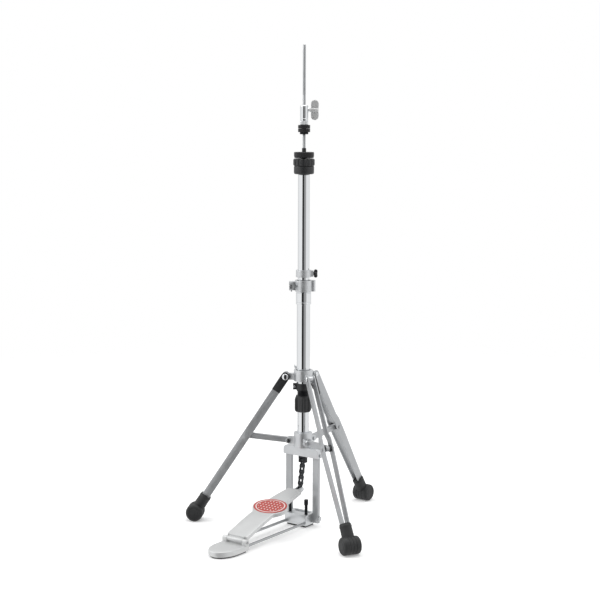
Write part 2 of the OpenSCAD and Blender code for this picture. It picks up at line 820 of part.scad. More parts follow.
// chain space: X across, -Z down the chain from its top pin
module chain_space() {
    translate([0, 0, chain_top_z]) rotate([-chain_lean, 0, 0]) children();
}
module link_plate(x0, z_hi) {
    translate([x0, 0, z_hi]) {
        for (k = [0, 1]) translate([0, 0, -k * chain_pitch]) rod_x(link_r, 0, link_t);
        box(0, link_t, -link_waist / 2, link_waist / 2, -chain_pitch, 0);
    }
}
module chain() {
    color("#6f7275") chain_space() difference() {
        union() {
            for (i = [0 : chain_links - 1]) {
                x = link_in + (i % 2) * link_t;
                link_plate(x, -i * chain_pitch);
                mirror([1, 0, 0]) link_plate(x, -i * chain_pitch);
            }
            for (i = [0 : chain_links]) translate([0, 0, -i * chain_pitch])
                rod_x(roller_r, -link_in, link_in);
            for (i = [1 : chain_links - 1]) translate([0, 0, -i * chain_pitch])
                rod_x(chain_pin_r, -link_in - 2 * link_t - 0.3, link_in + 2 * link_t + 0.3);
        }
        rod_x(chain_pin_r + run, -hub_r, hub_r);
        translate([0, 0, -chain_l]) rod_x(chain_pin_r + toe_play, -hub_r, hub_r);
    }
}
// half width of the footboard's long strip at y, drawn in by inset
function board_strip(y, inset) = y < -board_taper_y ? board_heel - inset
    : board_heel - inset - (board_heel - board_toe)
        * pow((y + board_taper_y) / (board_taper_y - board_y1), 2);
// half width of its round middle at y, drawn in by inset
function board_round(y, inset) = (board_wide - inset)
    * sqrt(max(0, 1 - pow((y + board_wide_y) / (board_wide_l - inset), 2)));
function board_half(y, inset) =
    pow(pow(board_strip(y, inset), 8) + pow(board_round(y, inset), 8), 1 / 8);
function board_y(t) = -board_y0 + t * (board_y0 - board_y1);
module board_plan(inset) {
    ys = [for (i = [0 : board_steps]) board_y(i / board_steps)];
    polygon(concat([for (y = ys) [board_half(y, inset), y]],
        [for (i = [0 : board_steps]) [-board_half(ys[board_steps - i], inset),
            ys[board_steps - i]]]));
}
module board_arc(r) {
    translate([-hinge_w, board_cy, board_cz]) rotate([0, 90, 0])
        cylinder(r = r, h = 2 * hinge_w, $fn = 720);
}
module footboard() {
    color("#d2d4d5") difference() {
        union() {
            intersection() {
                linear_extrude(2 * hinge_y) board_plan(0);
                difference() {
                    board_arc(board_R);
                    board_arc(board_R - board_flange);
                }
            }
            translate([0, -hinge_y, hinge_z]) rod_x(knuckle_pedal_r, -board_knuckle, board_knuckle);
            box(-board_knuckle, board_knuckle, -hinge_y, -board_y0 + 4, hinge_z - 2,
                hinge_z + knuckle_pedal_r);
        }
        intersection() {
            translate([0, 0, -1]) linear_extrude(2 * hinge_y) intersection() {
                board_plan(board_rim);
                translate([-hinge_w, -board_y0 + 7]) square([2 * hinge_w, board_y0 - board_y1 - 10]);
            }
            board_arc(board_R - board_skin);
        }
        intersection() {
            box(-chain_slot - clevis_w, chain_slot + clevis_w, -board_y1 - 5, -board_y1 + 1,
                0, 2 * board_z1);
            board_arc(board_R - board_skin);
        }
        translate([0, -hinge_y, hinge_z]) {
            rod_x(hinge_pin_r + run, -hinge_w, hinge_w);
            for (s = [0, 1]) mirror([s, 0, 0]) {
                rod_x(knuckle_pedal_r + 1, board_knuckle, hinge_w);
                box(board_knuckle, hinge_w, -1, knuckle_pedal_r + 1, -hinge_z, 0);
            }
        }
    }
}
module toe_clevis() {
    reach = chain_slot + clevis_w;
    color("#b2b4b6") difference() {
        union() {
            intersection() {
                translate([-reach, 0, 0]) rotate([90, 0, 90]) linear_extrude(2 * reach)
                    polygon([[-clevis_back, toe_z - 18], [-toe_y, toe_z - link_r],
                        [-toe_y, toe_z + link_r], [-board_y1, board_z1], [-clevis_back, board_z1]]);
                board_arc(board_R - board_skin);
            }
            translate([0, -toe_y, toe_z]) rod_x(link_r, -reach, reach);
        }
        box(-chain_slot, chain_slot, -toe_y - 14, 20, toe_z - 20, toe_z + 40);
        box(-hub_r, hub_r, -board_y1 - 3, -board_y1, toe_z + 6.5, toe_z + 40);
        translate([0, -toe_y, toe_z]) rod_x(chain_pin_r, -hub_r, hub_r);
    }
    color("#7d8082") translate([0, -toe_y, toe_z]) {
        rod_x(chain_pin_r, -reach, reach);
    }
}
// plan of the heel plate behind the hinge, drawn in by inset
module heel_plan(inset) {
    half = heel_w / 2 - inset;
    translate([0, -hinge_y - heel_straight]) polygon(concat([[half, heel_straight]],
        [for (i = [0 : 36]) [half * cos(5 * i), -(heel_l - heel_straight - inset) * sin(5 * i)]],
        [[-half, heel_straight]]));
}
module heel_plate() {
    front = -hinge_y + knuckle_pedal_r + 1.5;
    color("#ced0d1") difference() {
        union() {
            translate([0, 0, heel_pad_t]) linear_extrude(heel_top - heel_pad_t) heel_plan(0);
            box(-heel_w / 2, heel_w / 2, -hinge_y, front, heel_pad_t, heel_top);
            for (s = [0, 1]) mirror([s, 0, 0]) {
                box(board_knuckle + gap, hinge_w / 2, -hinge_y - knuckle_pedal_r,
                    -hinge_y + knuckle_pedal_r, heel_top - 1, hinge_z);
                translate([0, -hinge_y, hinge_z])
                    rod_x(knuckle_pedal_r, board_knuckle + gap, hinge_w / 2);
            }
        }
        translate([0, -hinge_y, hinge_z]) rod_x(hinge_pin_r, -hinge_w, hinge_w);
        for (s = [-1, 1]) translate([s * wire_x, 0, wire_z])
            rod_y(wire_r, -hinge_y - 10, front + 1);
    }
}
module heel_pad() {
    color("#232323") linear_extrude(heel_pad_t) heel_plan(4);
}
module radius_rods() {
    color("#b5b8ba") for (s = [-1, 1]) translate([s * wire_x, 0, wire_z])
        rod_y(wire_r, -hinge_y - 10, -plate_front + wire_in);
}
module spur(s) {
    color("#1f1f1f") translate([s * spur_x, -spur_y, 0]) {
        translate([0, 0, spur_tip + 4]) cylinder(r = spur_r, h = spur_top - spur_tip - 8);
        translate([0, 0, spur_tip]) cylinder(r1 = 0.8, r2 = spur_r, h = 4);
        translate([0, 0, spur_top - 12]) cylinder(r = spur_head_r, h = 12);
    }
}

base_pad();
base_plate();
uprights();
frame_head();
frame_bolts();
guide_bushings();
strut_hub();
hub_pins();
base_tube();
threaded_neck();
lower_tube();
lock_ring();
clamp_sleeve();
tube_clamp();
radius_rods();
heel_plate();
heel_pad();
clamp_wing();
spur(-1);  // spur_left
spur(1);  // spur_right
tension_knob();
spring_cup();
pull_spring();
collar_body();
collar_bushing();
collar_pins();
collar_screw();
leg_strips(0);  // leg_a_strips
leg_strips(1);  // leg_b_strips
leg_strips(2);  // leg_c_strips
leg_cover(0);  // leg_a_cover
leg_cover(1);  // leg_b_cover
leg_cover(2);  // leg_c_cover
leg_foot(0);  // leg_a_foot
leg_foot(1);  // leg_b_foot
leg_foot(2);  // leg_c_foot
strut_bar(0);  // strut_a_bar
strut_bar(1);  // strut_b_bar
strut_bar(2);  // strut_c_bar
strut_bushing(0);  // strut_a_bushing
strut_bushing(1);  // strut_b_bushing
strut_bushing(2);  // strut_c_bushing
upper_tube();
seat_cup();
tilt_ring();
seat_plate();
seat_felt();
memory_lock();
memory_key();
upper_rod();
lower_rod();
rod_collars();
chain_connector();
chain();
footboard();
toe_clevis();
clutch_body();
clutch_bolt();
clutch_felts();
clutch_screw();
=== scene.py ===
import json
import math

import bpy
from mathutils import Matrix, Quaternion, Vector


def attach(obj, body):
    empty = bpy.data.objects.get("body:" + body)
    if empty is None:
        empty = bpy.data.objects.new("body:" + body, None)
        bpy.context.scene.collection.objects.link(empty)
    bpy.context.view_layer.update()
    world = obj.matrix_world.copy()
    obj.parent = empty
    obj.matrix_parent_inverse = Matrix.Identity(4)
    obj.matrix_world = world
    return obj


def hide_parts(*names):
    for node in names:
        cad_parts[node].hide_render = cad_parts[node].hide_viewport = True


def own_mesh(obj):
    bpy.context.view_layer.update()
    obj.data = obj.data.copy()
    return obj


bl_info = {
    "name": "Hi-Hat Stand",
    "version": (1, 0, 0),
    "blender": (4, 5, 0),
    "location": "View3D > Sidebar > Hi-Hat Stand",
    "description": "Builds a tripod hi-hat stand with chain pedal, cymbal seat and clutch",
    "category": "Add Mesh",
}

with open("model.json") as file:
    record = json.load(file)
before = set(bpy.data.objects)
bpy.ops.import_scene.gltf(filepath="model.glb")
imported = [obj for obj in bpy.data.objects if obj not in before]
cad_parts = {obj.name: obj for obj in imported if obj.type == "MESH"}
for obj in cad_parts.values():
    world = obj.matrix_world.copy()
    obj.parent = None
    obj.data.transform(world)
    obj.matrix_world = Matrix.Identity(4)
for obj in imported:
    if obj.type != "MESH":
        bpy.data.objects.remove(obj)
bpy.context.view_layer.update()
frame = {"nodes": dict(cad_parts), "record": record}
LEG_AZIMUTHS = {"a": 210.0, "b": 330.0, "c": 90.0}
SCREW_AZIMUTH = 36.0


# ---------------------------------------------------------------- sizes
def length(name, default, text):
    """A size in metres, shown as a length."""
    return bpy.props.FloatProperty(name=name, description=text, default=default, unit="LENGTH", precision=4)


def shade(name, default, text):
    """A colour as an sRGB hex value."""
    return bpy.props.StringProperty(name=name, description=text, default=default, maxlen=7)


class HihatSizes(bpy.types.PropertyGroup):
    """Sizes that a user would change"""

    edge: length("Edge rounding", 0.0006, "Radius of the small rounding on metal edges")
    cast_edge: length("Cast edge rounding", 0.0012, "Radius of the rounding on cast pieces")
    board_skin: length("Footboard skin", 0.0028, "Thickness of the footboard's metal")
    board_flange: length("Footboard flange", 0.0075, "Depth of the footboard's turned-down rim")
    wire: length("Spring wire", 0.0012, "Radius of the pull spring's wire")
    rib_depth: length("Ring rib depth", 0.0010, "Height of the tilt ring's ribs")
    felt_fuzz: length("Felt fuzz", 0.00035, "How far the felt's surface wanders")


class HihatColours(bpy.types.PropertyGroup):
    """Colours of the finishes, as sRGB hex values"""

    chrome: shade("Chrome", "#e4e6e8", "Bright chrome plating")
    steel: shade("Legs and frame", "#b4b6b8", "Satin plated steel")
    cast: shade("Castings", "#d4d6d8", "Tumbled die castings")
    pedal: shade("Pedal", "#d3d4d4", "Blasted and lacquered pedal metal")
    zinc: shade("Fasteners", "#c4c6c8", "Zinc plated small parts")
    chain: shade("Chain", "#3f4143", "Oiled chain steel")
    black: shade("Black steel", "#26272a", "Blackened steel")
    plastic: shade("Black plastic", "#232426", "Moulded nylon")
    rubber: shade("Rubber", "#262728", "Moulded rubber")
    felt: shade("Felt", "#1c1c1e", "Pressed wool felt")
    oval: shade("Oval", "#b94a44", "Printed grip oval on the footboard")
    floor: shade("Floor", "#f6f6f6", "Studio floor")


def sizes():
    return bpy.context.scene.hihat_sizes


def colours():
    return bpy.context.scene.hihat_colours


# ---------------------------------------------------------------- finishes
def linear(text):
    """An sRGB hex value as the linear colour that a shader takes."""
    parts = [int(text[i : i + 2], 16) / 255 for i in (1, 3, 5)]
    return tuple(c / 12.92 if c <= 0.04045 else ((c + 0.055) / 1.055) ** 2.4 for c in parts) + (1.0,)


def add(tree, kind, inputs=None, **settings):
    """Adds a node: settings are its own properties, inputs are socket values or links."""
    node = tree.nodes.new(kind)
    for name, value in settings.items():
        setattr(node, name, value)
    for name, value in (inputs or {}).items():
        socket = node.inputs[name]
        if isinstance(value, bpy.types.NodeSocket):
            tree.links.new(value, socket)
        else:
            socket.default_value = value
    return node


def new_finish(name):
    """A material with an empty tree, and its tree."""
    finish = bpy.data.materials.new(name)
    finish.use_nodes = True
    finish.node_tree.nodes.clear()
    return finish, finish.node_tree


def coat(tree, shader_inputs):
    """Adds the surface shader and the output."""
    shader = add(tree, "ShaderNodeBsdfPrincipled", shader_inputs)
    add(tree, "ShaderNodeOutputMaterial", {"Surface": shader.outputs[0]})
    return shader


def noise(tree, place, scale, detail, **more):
    """A noise texture: scale is the number of its patches in a metre."""
    return add(tree, "ShaderNodeTexNoise", {"Vector": place, "Scale": scale, "Detail": detail, **more})


def bumps(tree, texture, strength, distance=0.0002):
    """Small bumps that follow a texture, distance metres high."""
    inputs = {"Height": texture.outputs[0], "Strength": strength, "Distance": distance}
    return add(tree, "ShaderNodeBump", inputs).outputs[0]


def mottled(tree, place, colour, scale, spread):
    """A colour that wanders a little lighter and darker, as real coatings do."""
    base = linear(colour)
    patches = noise(tree, place, scale, 4.0, Roughness=0.6)
    ramp = add(tree, "ShaderNodeValToRGB", {"Fac": patches.outputs[0]})
    ramp.color_ramp.elements[0].position = 0.3
    ramp.color_ramp.elements[1].position = 0.7
    ramp.color_ramp.elements[0].color = tuple(c * (1 - spread) for c in base[:3]) + (1,)
    ramp.color_ramp.elements[1].color = tuple(min(1.0, c * (1 + spread)) for c in base[:3]) + (1,)
    return ramp.outputs[0]


def spread_between(tree, place, scale, low, high):
    """A number that wanders between low and high over the surface."""
    patches = noise(tree, place, scale, 3.0)
    span = add(tree, "ShaderNodeMapRange", {"Value": patches.outputs[0], "From Min": 0.3, "From Max": 0.7,
                                             "To Min": low, "To Max": high})
    return span.outputs[0]


def object_place(tree, scale=(1.0, 1.0, 1.0)):
    """The object's own coordinates in metres, stretched where the grain has a direction."""
    place = add(tree, "ShaderNodeTexCoord")
    stretch = add(tree, "ShaderNodeMapping", {"Vector": place.outputs["Object"], "Scale": scale})
    return stretch.outputs[0]


def chrome_finish():
    """Bright nickel-chrome plate over polished steel tube: a near mirror with faint polishing haze."""
    finish, tree = new_finish("chrome_plate")
    place = object_place(tree)
    # hand polish leaves haze patches about 25 mm across
    rough = spread_between(tree, place, 40.0, 0.03, 0.07)
    lines = object_place(tree, (1.0, 1.0, 0.04))
    # polishing lines run along the tube, about 0.5 mm apart so that they show
    fine = noise(tree, lines, 2000.0, 2.0)
    bump = bumps(tree, fine, 0.015)
    coat(tree, {"Base Color": mottled(tree, place, colours().chrome, 25.0, 0.015), "Metallic": 1.0,
                "Roughness": rough, "Normal": bump})
    return finish


def steel_finish():
    """Satin nickel-plated strip steel: soft broad highlights with rolling lines along the strip."""
    finish, tree = new_finish("satin_plated_steel")
    place = object_place(tree)
    # rolling grain stands about 0.4 mm apart and runs up the stand
    grain = object_place(tree, (1.0, 1.0, 0.05))
    fine = noise(tree, grain, 2500.0, 3.0)
    bump = bumps(tree, fine, 0.08, 0.0003)
    coat(tree, {"Base Color": mottled(tree, place, colours().steel, 30.0, 0.05), "Metallic": 0.6,
                "Roughness": spread_between(tree, place, 60.0, 0.34, 0.44), "Normal": bump})
    return finish


def cast_finish():
    """Tumbled zinc die casting with a satin plate: fine pebbled skin, wide dull highlights."""
    finish, tree = new_finish("tumbled_casting")
    place = object_place(tree)
    # tumbling media leave dimples about 0.8 mm across
    dimples = add(tree, "ShaderNodeTexVoronoi", {"Vector": place, "Scale": 1200.0}, feature="SMOOTH_F1")
    bump = bumps(tree, dimples, 0.12)
    coat(tree, {"Base Color": mottled(tree, place, colours().cast, 45.0, 0.06), "Metallic": 0.88,
                "Roughness": spread_between(tree, place, 90.0, 0.36, 0.48), "Normal": bump})
    return finish


def pedal_finish():
    """Bead-blasted and lacquered aluminium: pale, even, with a soft sparkle."""
    finish, tree = new_finish("blasted_aluminium")
    place = object_place(tree)
    # blast grit is 0.15 mm, drawn at 0.5 mm so that it shows
    grit = noise(tree, place, 2000.0, 4.0)
    bump = bumps(tree, grit, 0.10)
    coat(tree, {"Base Color": mottled(tree, place, colours().pedal, 35.0, 0.03), "Metallic": 0.55,
                "Roughness": spread_between(tree, place, 70.0, 0.42, 0.52), "Normal": bump,
                "Coat Weight": 0.15, "Coat Roughness": 0.3})
    return finish


def zinc_finish():
    """Bright zinc plate on screws and pins: slightly cloudy mirror."""
    finish, tree = new_finish("zinc_plate")
    place = object_place(tree)
    fine = noise(tree, place, 900.0, 3.0)
    bump = bumps(tree, fine, 0.05)
    coat(tree, {"Base Color": mottled(tree, place, colours().zinc, 120.0, 0.05), "Metallic": 1.0,
                "Roughness": spread_between(tree, place, 150.0, 0.18, 0.30), "Normal": bump})
    return finish


def chain_finish():
    """Oiled roller-chain steel: grey plates darkened by oil in patches."""
    finish, tree = new_finish("oiled_chain_steel")
    place = object_place(tree)
    fine = noise(tree, place, 1500.0, 3.0)
    bump = bumps(tree, fine, 0.12)
    # oil gathers in patches about 4 mm across
    coat(tree, {"Base Color": mottled(tree, place, colours().chain, 240.0, 0.35), "Metallic": 0.95,
                "Roughness": spread_between(tree, place, 240.0, 0.22, 0.42), "Normal": bump})
    return finish


def black_steel_finish():
    """Chemically blackened steel with a trace of oil: dark, low gloss."""
    finish, tree = new_finish("blackened_steel")
    place = object_place(tree)
    fine = noise(tree, place, 1200.0, 3.0)
    bump = bumps(tree, fine, 0.08)
    coat(tree, {"Base Color": mottled(tree, place, colours().black, 150.0, 0.2), "Metallic": 0.6,
                "Roughness": spread_between(tree, place, 180.0, 0.32, 0.45), "Normal": bump})
    return finish


def plastic_finish(name="moulded_nylon", rough=(0.38, 0.5)):
    """Glass-filled nylon with a spark-eroded mould texture: fine leathery grain, soft sheen."""
    finish, tree = new_finish(name)
    place = object_place(tree)
    # mould texture cells are 0.7 mm
    cells = add(tree, "ShaderNodeTexVoronoi", {"Vector": place, "Scale": 1400.0}, feature="SMOOTH_F1")
    bump = bumps(tree, cells, 0.18)
    coat(tree, {"Base Color": mottled(tree, place, colours().plastic, 80.0, 0.12),
                "Roughness": spread_between(tree, place, 100.0, rough[0], rough[1]),
                "IOR": 1.53, "Normal": bump})
    return finish


def rubber_finish():
    """Moulded black rubber: matt with a dusty bloom and fine pitting."""
    finish, tree = new_finish("moulded_rubber")
    place = object_place(tree)
    # pits are about 1 mm across, bloom patches about 15 mm
    pits = noise(tree, place, 1000.0, 5.0, Roughness=0.7)
    bump = bumps(tree, pits, 0.2, 0.0003)
    coat(tree, {"Base Color": mottled(tree, place, colours().rubber, 65.0, 0.25),
                "Roughness": spread_between(tree, place, 60.0, 0.52, 0.68), "IOR": 1.52,
                "Normal": bump})
    return finish


def felt_finish():
    """Pressed wool felt: no gloss, matted fibres and a soft edge glow."""
    finish, tree = new_finish("pressed_felt")
    place = object_place(tree)
    # fibres mat together in tufts of about 1.2 mm
    tufts = noise(tree, place, 850.0, 8.0, Roughness=0.8)
    bump = bumps(tree, tufts, 0.6, 0.0006)
    coat(tree, {"Base Color": mottled(tree, place, colours().felt, 400.0, 0.35), "Roughness": 0.95,
                "Sheen Weight": 0.25, "Sheen Roughness": 0.5, "Normal": bump})
    return finish


def oval_finish():
    """Screen-printed grip oval: matt red ink with a pale ring and rows of pale dots."""
    finish, tree = new_finish("printed_oval")
    axes = add(tree, "ShaderNodeSeparateXYZ", {"Vector": object_place(tree)})

    def sum_of(kind, *values):
        return add(tree, "ShaderNodeMath", dict(enumerate(values)), operation=kind).outputs[0]

    across = sum_of("DIVIDE", axes.outputs[0], OVAL_HALF_WIDTH)
    along = sum_of("DIVIDE", sum_of("ADD", axes.outputs[1], OVAL_Y), OVAL_HALF_LENGTH)
    radius = sum_of("SQRT", sum_of("ADD", sum_of("POWER", across, 2.0), sum_of("POWER", along, 2.0)))
    # the ring stands 0.82 to 0.89 of the way out, 2 to 3 mm wide
    ring = sum_of("MULTIPLY", sum_of("GREATER_THAN", radius, 0.82), sum_of("LESS_THAN", radius, 0.89))
    # dots stand on an 8 mm grid, 3.5 mm across
    cell_x = sum_of("SUBTRACT", sum_of("FRACT", sum_of("DIVIDE", axes.outputs[0], DOT_PITCH)), 0.5)
    cell_y = sum_of("SUBTRACT", sum_of("FRACT", sum_of("DIVIDE", axes.outputs[1], DOT_PITCH)), 0.5)
    dot = sum_of("LESS_THAN", sum_of("SQRT", sum_of("ADD", sum_of("POWER", cell_x, 2.0),
                                                     sum_of("POWER", cell_y, 2.0))), 0.22)
    dots = sum_of("MULTIPLY", dot, sum_of("LESS_THAN", radius, 0.74))
    marks = sum_of("MAXIMUM", ring, dots)
    ink = mottled(tree, object_place(tree), colours().oval, 300.0, 0.08)
    mix = add(tree, "ShaderNodeMix", {"Factor": marks}, data_type="RGBA")
    tree.links.new(ink, mix.inputs[6])
    mix.inputs[7].default_value = linear("#e3d6d2")
    grain = noise(tree, object_place(tree), 1600.0, 3.0)
    bump = bumps(tree, grain, 0.15)
    rough = spread_between(tree, object_place(tree), 90.0, 0.5, 0.62)
    coat(tree, {"Base Color": mix.outputs[2], "Roughness": rough, "Normal": bump})
    return finish


def floor_finish():
    """Matt painted studio floor, nearly white, which runs out into the white walls."""
    finish, tree = new_finish("studio_floor")
    place = object_place(tree)
    far = add(tree, "ShaderNodeVectorMath", {0: place}, operation="LENGTH")
    fade = add(tree, "ShaderNodeMapRange", {"Value": far.outputs["Value"], "From Min": 1.0, "From Max": 2.4,
                                             "To Min": 0.0, "To Max": 1.0}, interpolation_type="SMOOTHSTEP")
    paint = add(tree, "ShaderNodeBsdfPrincipled", {
        "Base Color": mottled(tree, place, colours().floor, 2.0, 0.004), "Roughness": 0.95,
        "Emission Color": (1, 1, 1, 1), "Emission Strength": 0.25})
    clear = add(tree, "ShaderNodeBsdfTransparent")
    mix = add(tree, "ShaderNodeMixShader", {0: fade.outputs[0], 1: paint.outputs[0], 2: clear.outputs[0]})
    add(tree, "ShaderNodeOutputMaterial", {"Surface": mix.outputs[0]})
    return finish


FINISH_MAKERS = {
    "chrome": chrome_finish,
    "satin_steel": steel_finish,
    "cast_metal": cast_finish,
    "pedal_metal": pedal_finish,
    "zinc": zinc_finish,
    "chain_steel": chain_finish,
    "black_metal": black_steel_finish,
    "black_plastic": plastic_finish,
    "nylon": lambda: plastic_finish("smooth_nylon", (0.28, 0.36)),
    "rubber": rubber_finish,
    "felt": felt_finish,
    "oval": oval_finish,
    "floor": floor_finish,
}
OVAL_HALF_WIDTH = 0.0395
OVAL_HALF_LENGTH = 0.0280
OVAL_Y = 0.117
DOT_PITCH = 0.008
FINISHES = {}


def finish_of(slot):
    """The material of one slot, made once."""
    if slot not in FINISHES:
        FINISHES[slot] = FINISH_MAKERS[slot]()
    return FINISHES[slot]


# ---------------------------------------------------------------- modelling helpers
SLOTS = {row["node"]: row["material_slot"] for row in frame["record"]["subparts"]}
BODY_OF = {n: b for b, ns in frame["record"]["behaviour"]["bodies"].items() for n in ns}


def spin(degrees, axis):
    """The matrix of a turn about one axis."""
    return Matrix.Rotation(math.radians(degrees), 4, axis)


def idle():
    """Leaves edit mode and lets go of everything."""
    if bpy.context.mode != "OBJECT":
        bpy.ops.object.mode_set(mode="OBJECT")
    bpy.ops.object.select_all(action="DESELECT")


def edit_all():
    """Enters edit mode with the whole mesh selected."""
    bpy.ops.object.mode_set(mode="EDIT")
    bpy.ops.mesh.select_all(action="SELECT")


def hold(obj):
    """Selects one object and nothing else."""
    idle()
    obj.select_set(True)
    bpy.context.view_layer.objects.active = obj
    return obj


def apply_all(obj):
    """Applies every modifier."""
    hold(obj)
    for modifier in list(obj.modifiers):
        bpy.ops.object.modifier_apply(modifier=modifier.name)


def rounded(obj, width, segments=2, angle=32.0):
    """Rounds the sharp edges."""
    hold(obj)
    bevel = obj.modifiers.new("rounding", "BEVEL")
    bevel.width = width
    bevel.segments = segments
    bevel.limit_method = "ANGLE"
    bevel.angle_limit = math.radians(angle)
    bevel.harden_normals = False
    bpy.ops.object.modifier_apply(modifier=bevel.name)
    return obj


def settle(obj, place=None):
    """Puts the object's place into its mesh."""
    hold(obj)
    if place is not None:
        obj.matrix_world = place @ obj.matrix_world
        bpy.context.view_layer.update()
    bpy.ops.object.transform_apply(location=True, rotation=True, scale=True)
    return obj


def outward(obj):
    """Merges doubles and turns every face outwards."""
    hold(obj)
    edit_all()
    bpy.ops.mesh.remove_doubles(threshold=1e-6)
    bpy.ops.mesh.normals_make_consistent(inside=False)
    idle()
    return obj


def joined(parts):
    """Several meshes as one piece."""
    idle()
    for part in parts:
        part.select_set(True)
    bpy.context.view_layer.objects.active = parts[0]
    if len(parts) > 1:
        bpy.ops.object.join()
    return parts[0]


def keep(obj, name, nodes, finish=None, body=None, smooth=38.0, shows=True):
    """Names a finished piece, smooths its shading, gives it its finish and its body, and hides the CAD nodes
    that it stands for.
    """
    hold(obj)
    bpy.ops.object.shade_smooth_by_angle(angle=math.radians(smooth))
    idle()
    obj.name = name
    obj.data.name = name
    nodes = [nodes] if isinstance(nodes, str) else list(nodes)
    slot = finish or SLOTS[nodes[0]]
    obj.data.materials.clear()
    obj.data.materials.append(finish_of(slot))
    if shows:
        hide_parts(*nodes)
    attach(obj, body or BODY_OF[nodes[0]])
    return obj


def turned(rings, sides=64):
    """A lathe piece about Z: rings are (radius, height) from start to end; radius 0 closes an end."""
    tiny = 1e-6
    rings = [(max(r, tiny), z) for r, z in rings]
    idle()
    bpy.ops.mesh.primitive_circle_add(vertices=sides, radius=rings[0][0], location=(0, 0, 0))
    obj = bpy.context.object
    edit_all()
    bpy.ops.transform.translate(value=(0, 0, rings[0][1]))
    for (ra, za), (rb, zb) in zip(rings, rings[1:]):
        bpy.ops.mesh.extrude_region_move(TRANSFORM_OT_translate={"value": (0, 0, zb - za)})
        if abs(rb - ra) > 1e-9:
            bpy.ops.transform.resize(value=(rb / ra, rb / ra, 1), center_override=(0, 0, zb))
    idle()
    mesh_clean(obj, tiny * 3)
    return obj


def mesh_clean(obj, near=1e-6):
    hold(obj)
    edit_all()
    bpy.ops.mesh.remove_doubles(threshold=near)
    bpy.ops.mesh.dissolve_degenerate(threshold=1e-7)
    bpy.ops.mesh.select_all(action="SELECT")
    bpy.ops.mesh.normals_make_consistent(inside=False)
    idle()
    return obj


def reshape(obj, rule):
    """Moves the points of a round piece: rule(radius, angle, height) gives the new radius."""
    for vertex in obj.data.vertices:
        x, y, z = vertex.co
        r = math.hypot(x, y)
        if r > 0:
            k = rule(r, math.atan2(y, x), z) / r
            vertex.co = (x * k, y * k, z)
    return obj


def fluted(radius, angle, depth, count):
    """The radius of a round grip with count grooves around it."""
    return radius - depth * (0.5 + 0.5 * math.cos(count * angle))


def tube_rings(outer, bore, low, high, lip=0.0006):
    """Rings of a tube with rounded lips."""
    return [(bore, low + lip), (bore + lip * 0.3, low + lip * 0.3), (bore + lip, low), (outer - lip, low),
            (outer - lip * 0.3, low + lip * 0.3), (outer, low + lip), (outer, high - lip),
            (outer - lip * 0.3, high - lip * 0.3), (outer - lip, high), (bore + lip, high),
            (bore + lip * 0.3, high - lip * 0.3), (bore, high - lip), (bore, low + lip)]


def rod_rings(radius, low, high, lip=0.0005):
    """Rings of a solid rod with rounded ends."""
    return [(0, low), (radius - lip, low), (radius - lip * 0.3, low + lip * 0.3), (radius, low + lip),
            (radius, high - lip), (radius - lip * 0.3, high - lip * 0.3), (radius - lip, high), (0, high)]


def slab(outline, low, high, edge=0.0008, segments=3, name="slab"):
    """A plate in the XY plane with a rounded rim: outline is a list of (x, y)."""
    idle()
    bpy.ops.mesh.primitive_circle_add(vertices=len(outline), radius=1.0, fill_type="NGON")
    obj = bpy.context.object
    obj.name = name
    for vertex, (x, y) in zip(obj.data.vertices, outline):
        vertex.co = (x, y, low)
    edit_all()
    bpy.ops.mesh.extrude_region_move(TRANSFORM_OT_translate={"value": (0, 0, high - low)})
    bpy.ops.mesh.select_all(action="SELECT")
    bpy.ops.mesh.normals_make_consistent(inside=False)
    idle()
    if edge > 0:
        rounded(obj, edge, segments, 50.0)
    return obj


def copy_of(node):
    """A merged copy of a CAD node's mesh."""
    source = frame["nodes"][node]
    obj = bpy.data.objects.new(node + "_shaped", source.data.copy())
    bpy.context.scene.collection.objects.link(obj)
    hold(obj)
    edit_all()
    bpy.ops.mesh.remove_doubles(threshold=2e-6)
    bpy.ops.mesh.dissolve_limited(angle_limit=math.radians(0.6))
    idle()
    obj.data.materials.clear()
    return obj


def eased(node, name, width, segments=2):
    """A CAD piece with its edges broken, as a tumbled or deburred part has them."""
    obj = copy_of(node)
    rounded(obj, width, segments)
    return keep(obj, name, node)


def along_x(azimuth, radius=0.0, height=0.0):
    """Stands a piece made about Z on its side, so that it points outwards at that azimuth."""
    return (spin(azimuth, "Z") @ Matrix.Translation((radius, 0, height))
            @ spin(90, "Y"))


# ---------------------------------------------------------------- shared measures, in metres
ROD_R = 0.003175
UPPER_R = 0.0127
LOWER_R = 0.0143
RUN = 0.00005
LEG_PIVOT = (0.038, 0.328)
LEG_LEAN = 33.04
LEG_LENGTH = 0.3686
FOOT_R = LEG_PIVOT[1] - LEG_LENGTH * math.cos(math.radians(LEG_LEAN))
HINGE_Y, HINGE_Z = -0.235, 0.022
CHAIN_TOP_Z = 0.1425259
CHAIN_LEAN = 9.5178
CHAIN_PITCH = 0.0127
CHAIN_LINKS = 5
LOBES, LOBE_HEIGHT = 6, 0.0037
RING_RIBS, NUT_KNURLS, SPUR_FLUTES = 16, 30, 12
FRAME_HALF, HEAD_HALF = 0.0435, 0.0465
COLLAR_SCREW_AZIMUTH = 150.0


def leg_space(azimuth):
    """X runs from the top pivot down the leg, Y is tangential."""
    return (spin(azimuth, "Z") @ Matrix.Translation((LEG_PIVOT[0], 0, LEG_PIVOT[1]))
            @ spin(90 - LEG_LEAN, "Y"))


def side_on(x=0.0, y=0.0, z=0.0):
    """Turns a piece made about Z so that it lies along Y."""
    return Matrix.Translation((x, y, z)) @ spin(-90, "X")


def cross_on(x=0.0, y=0.0, z=0.0):
    """Turns a piece made about Z so that it lies along X."""
    return Matrix.Translation((x, y, z)) @ spin(90, "Y")


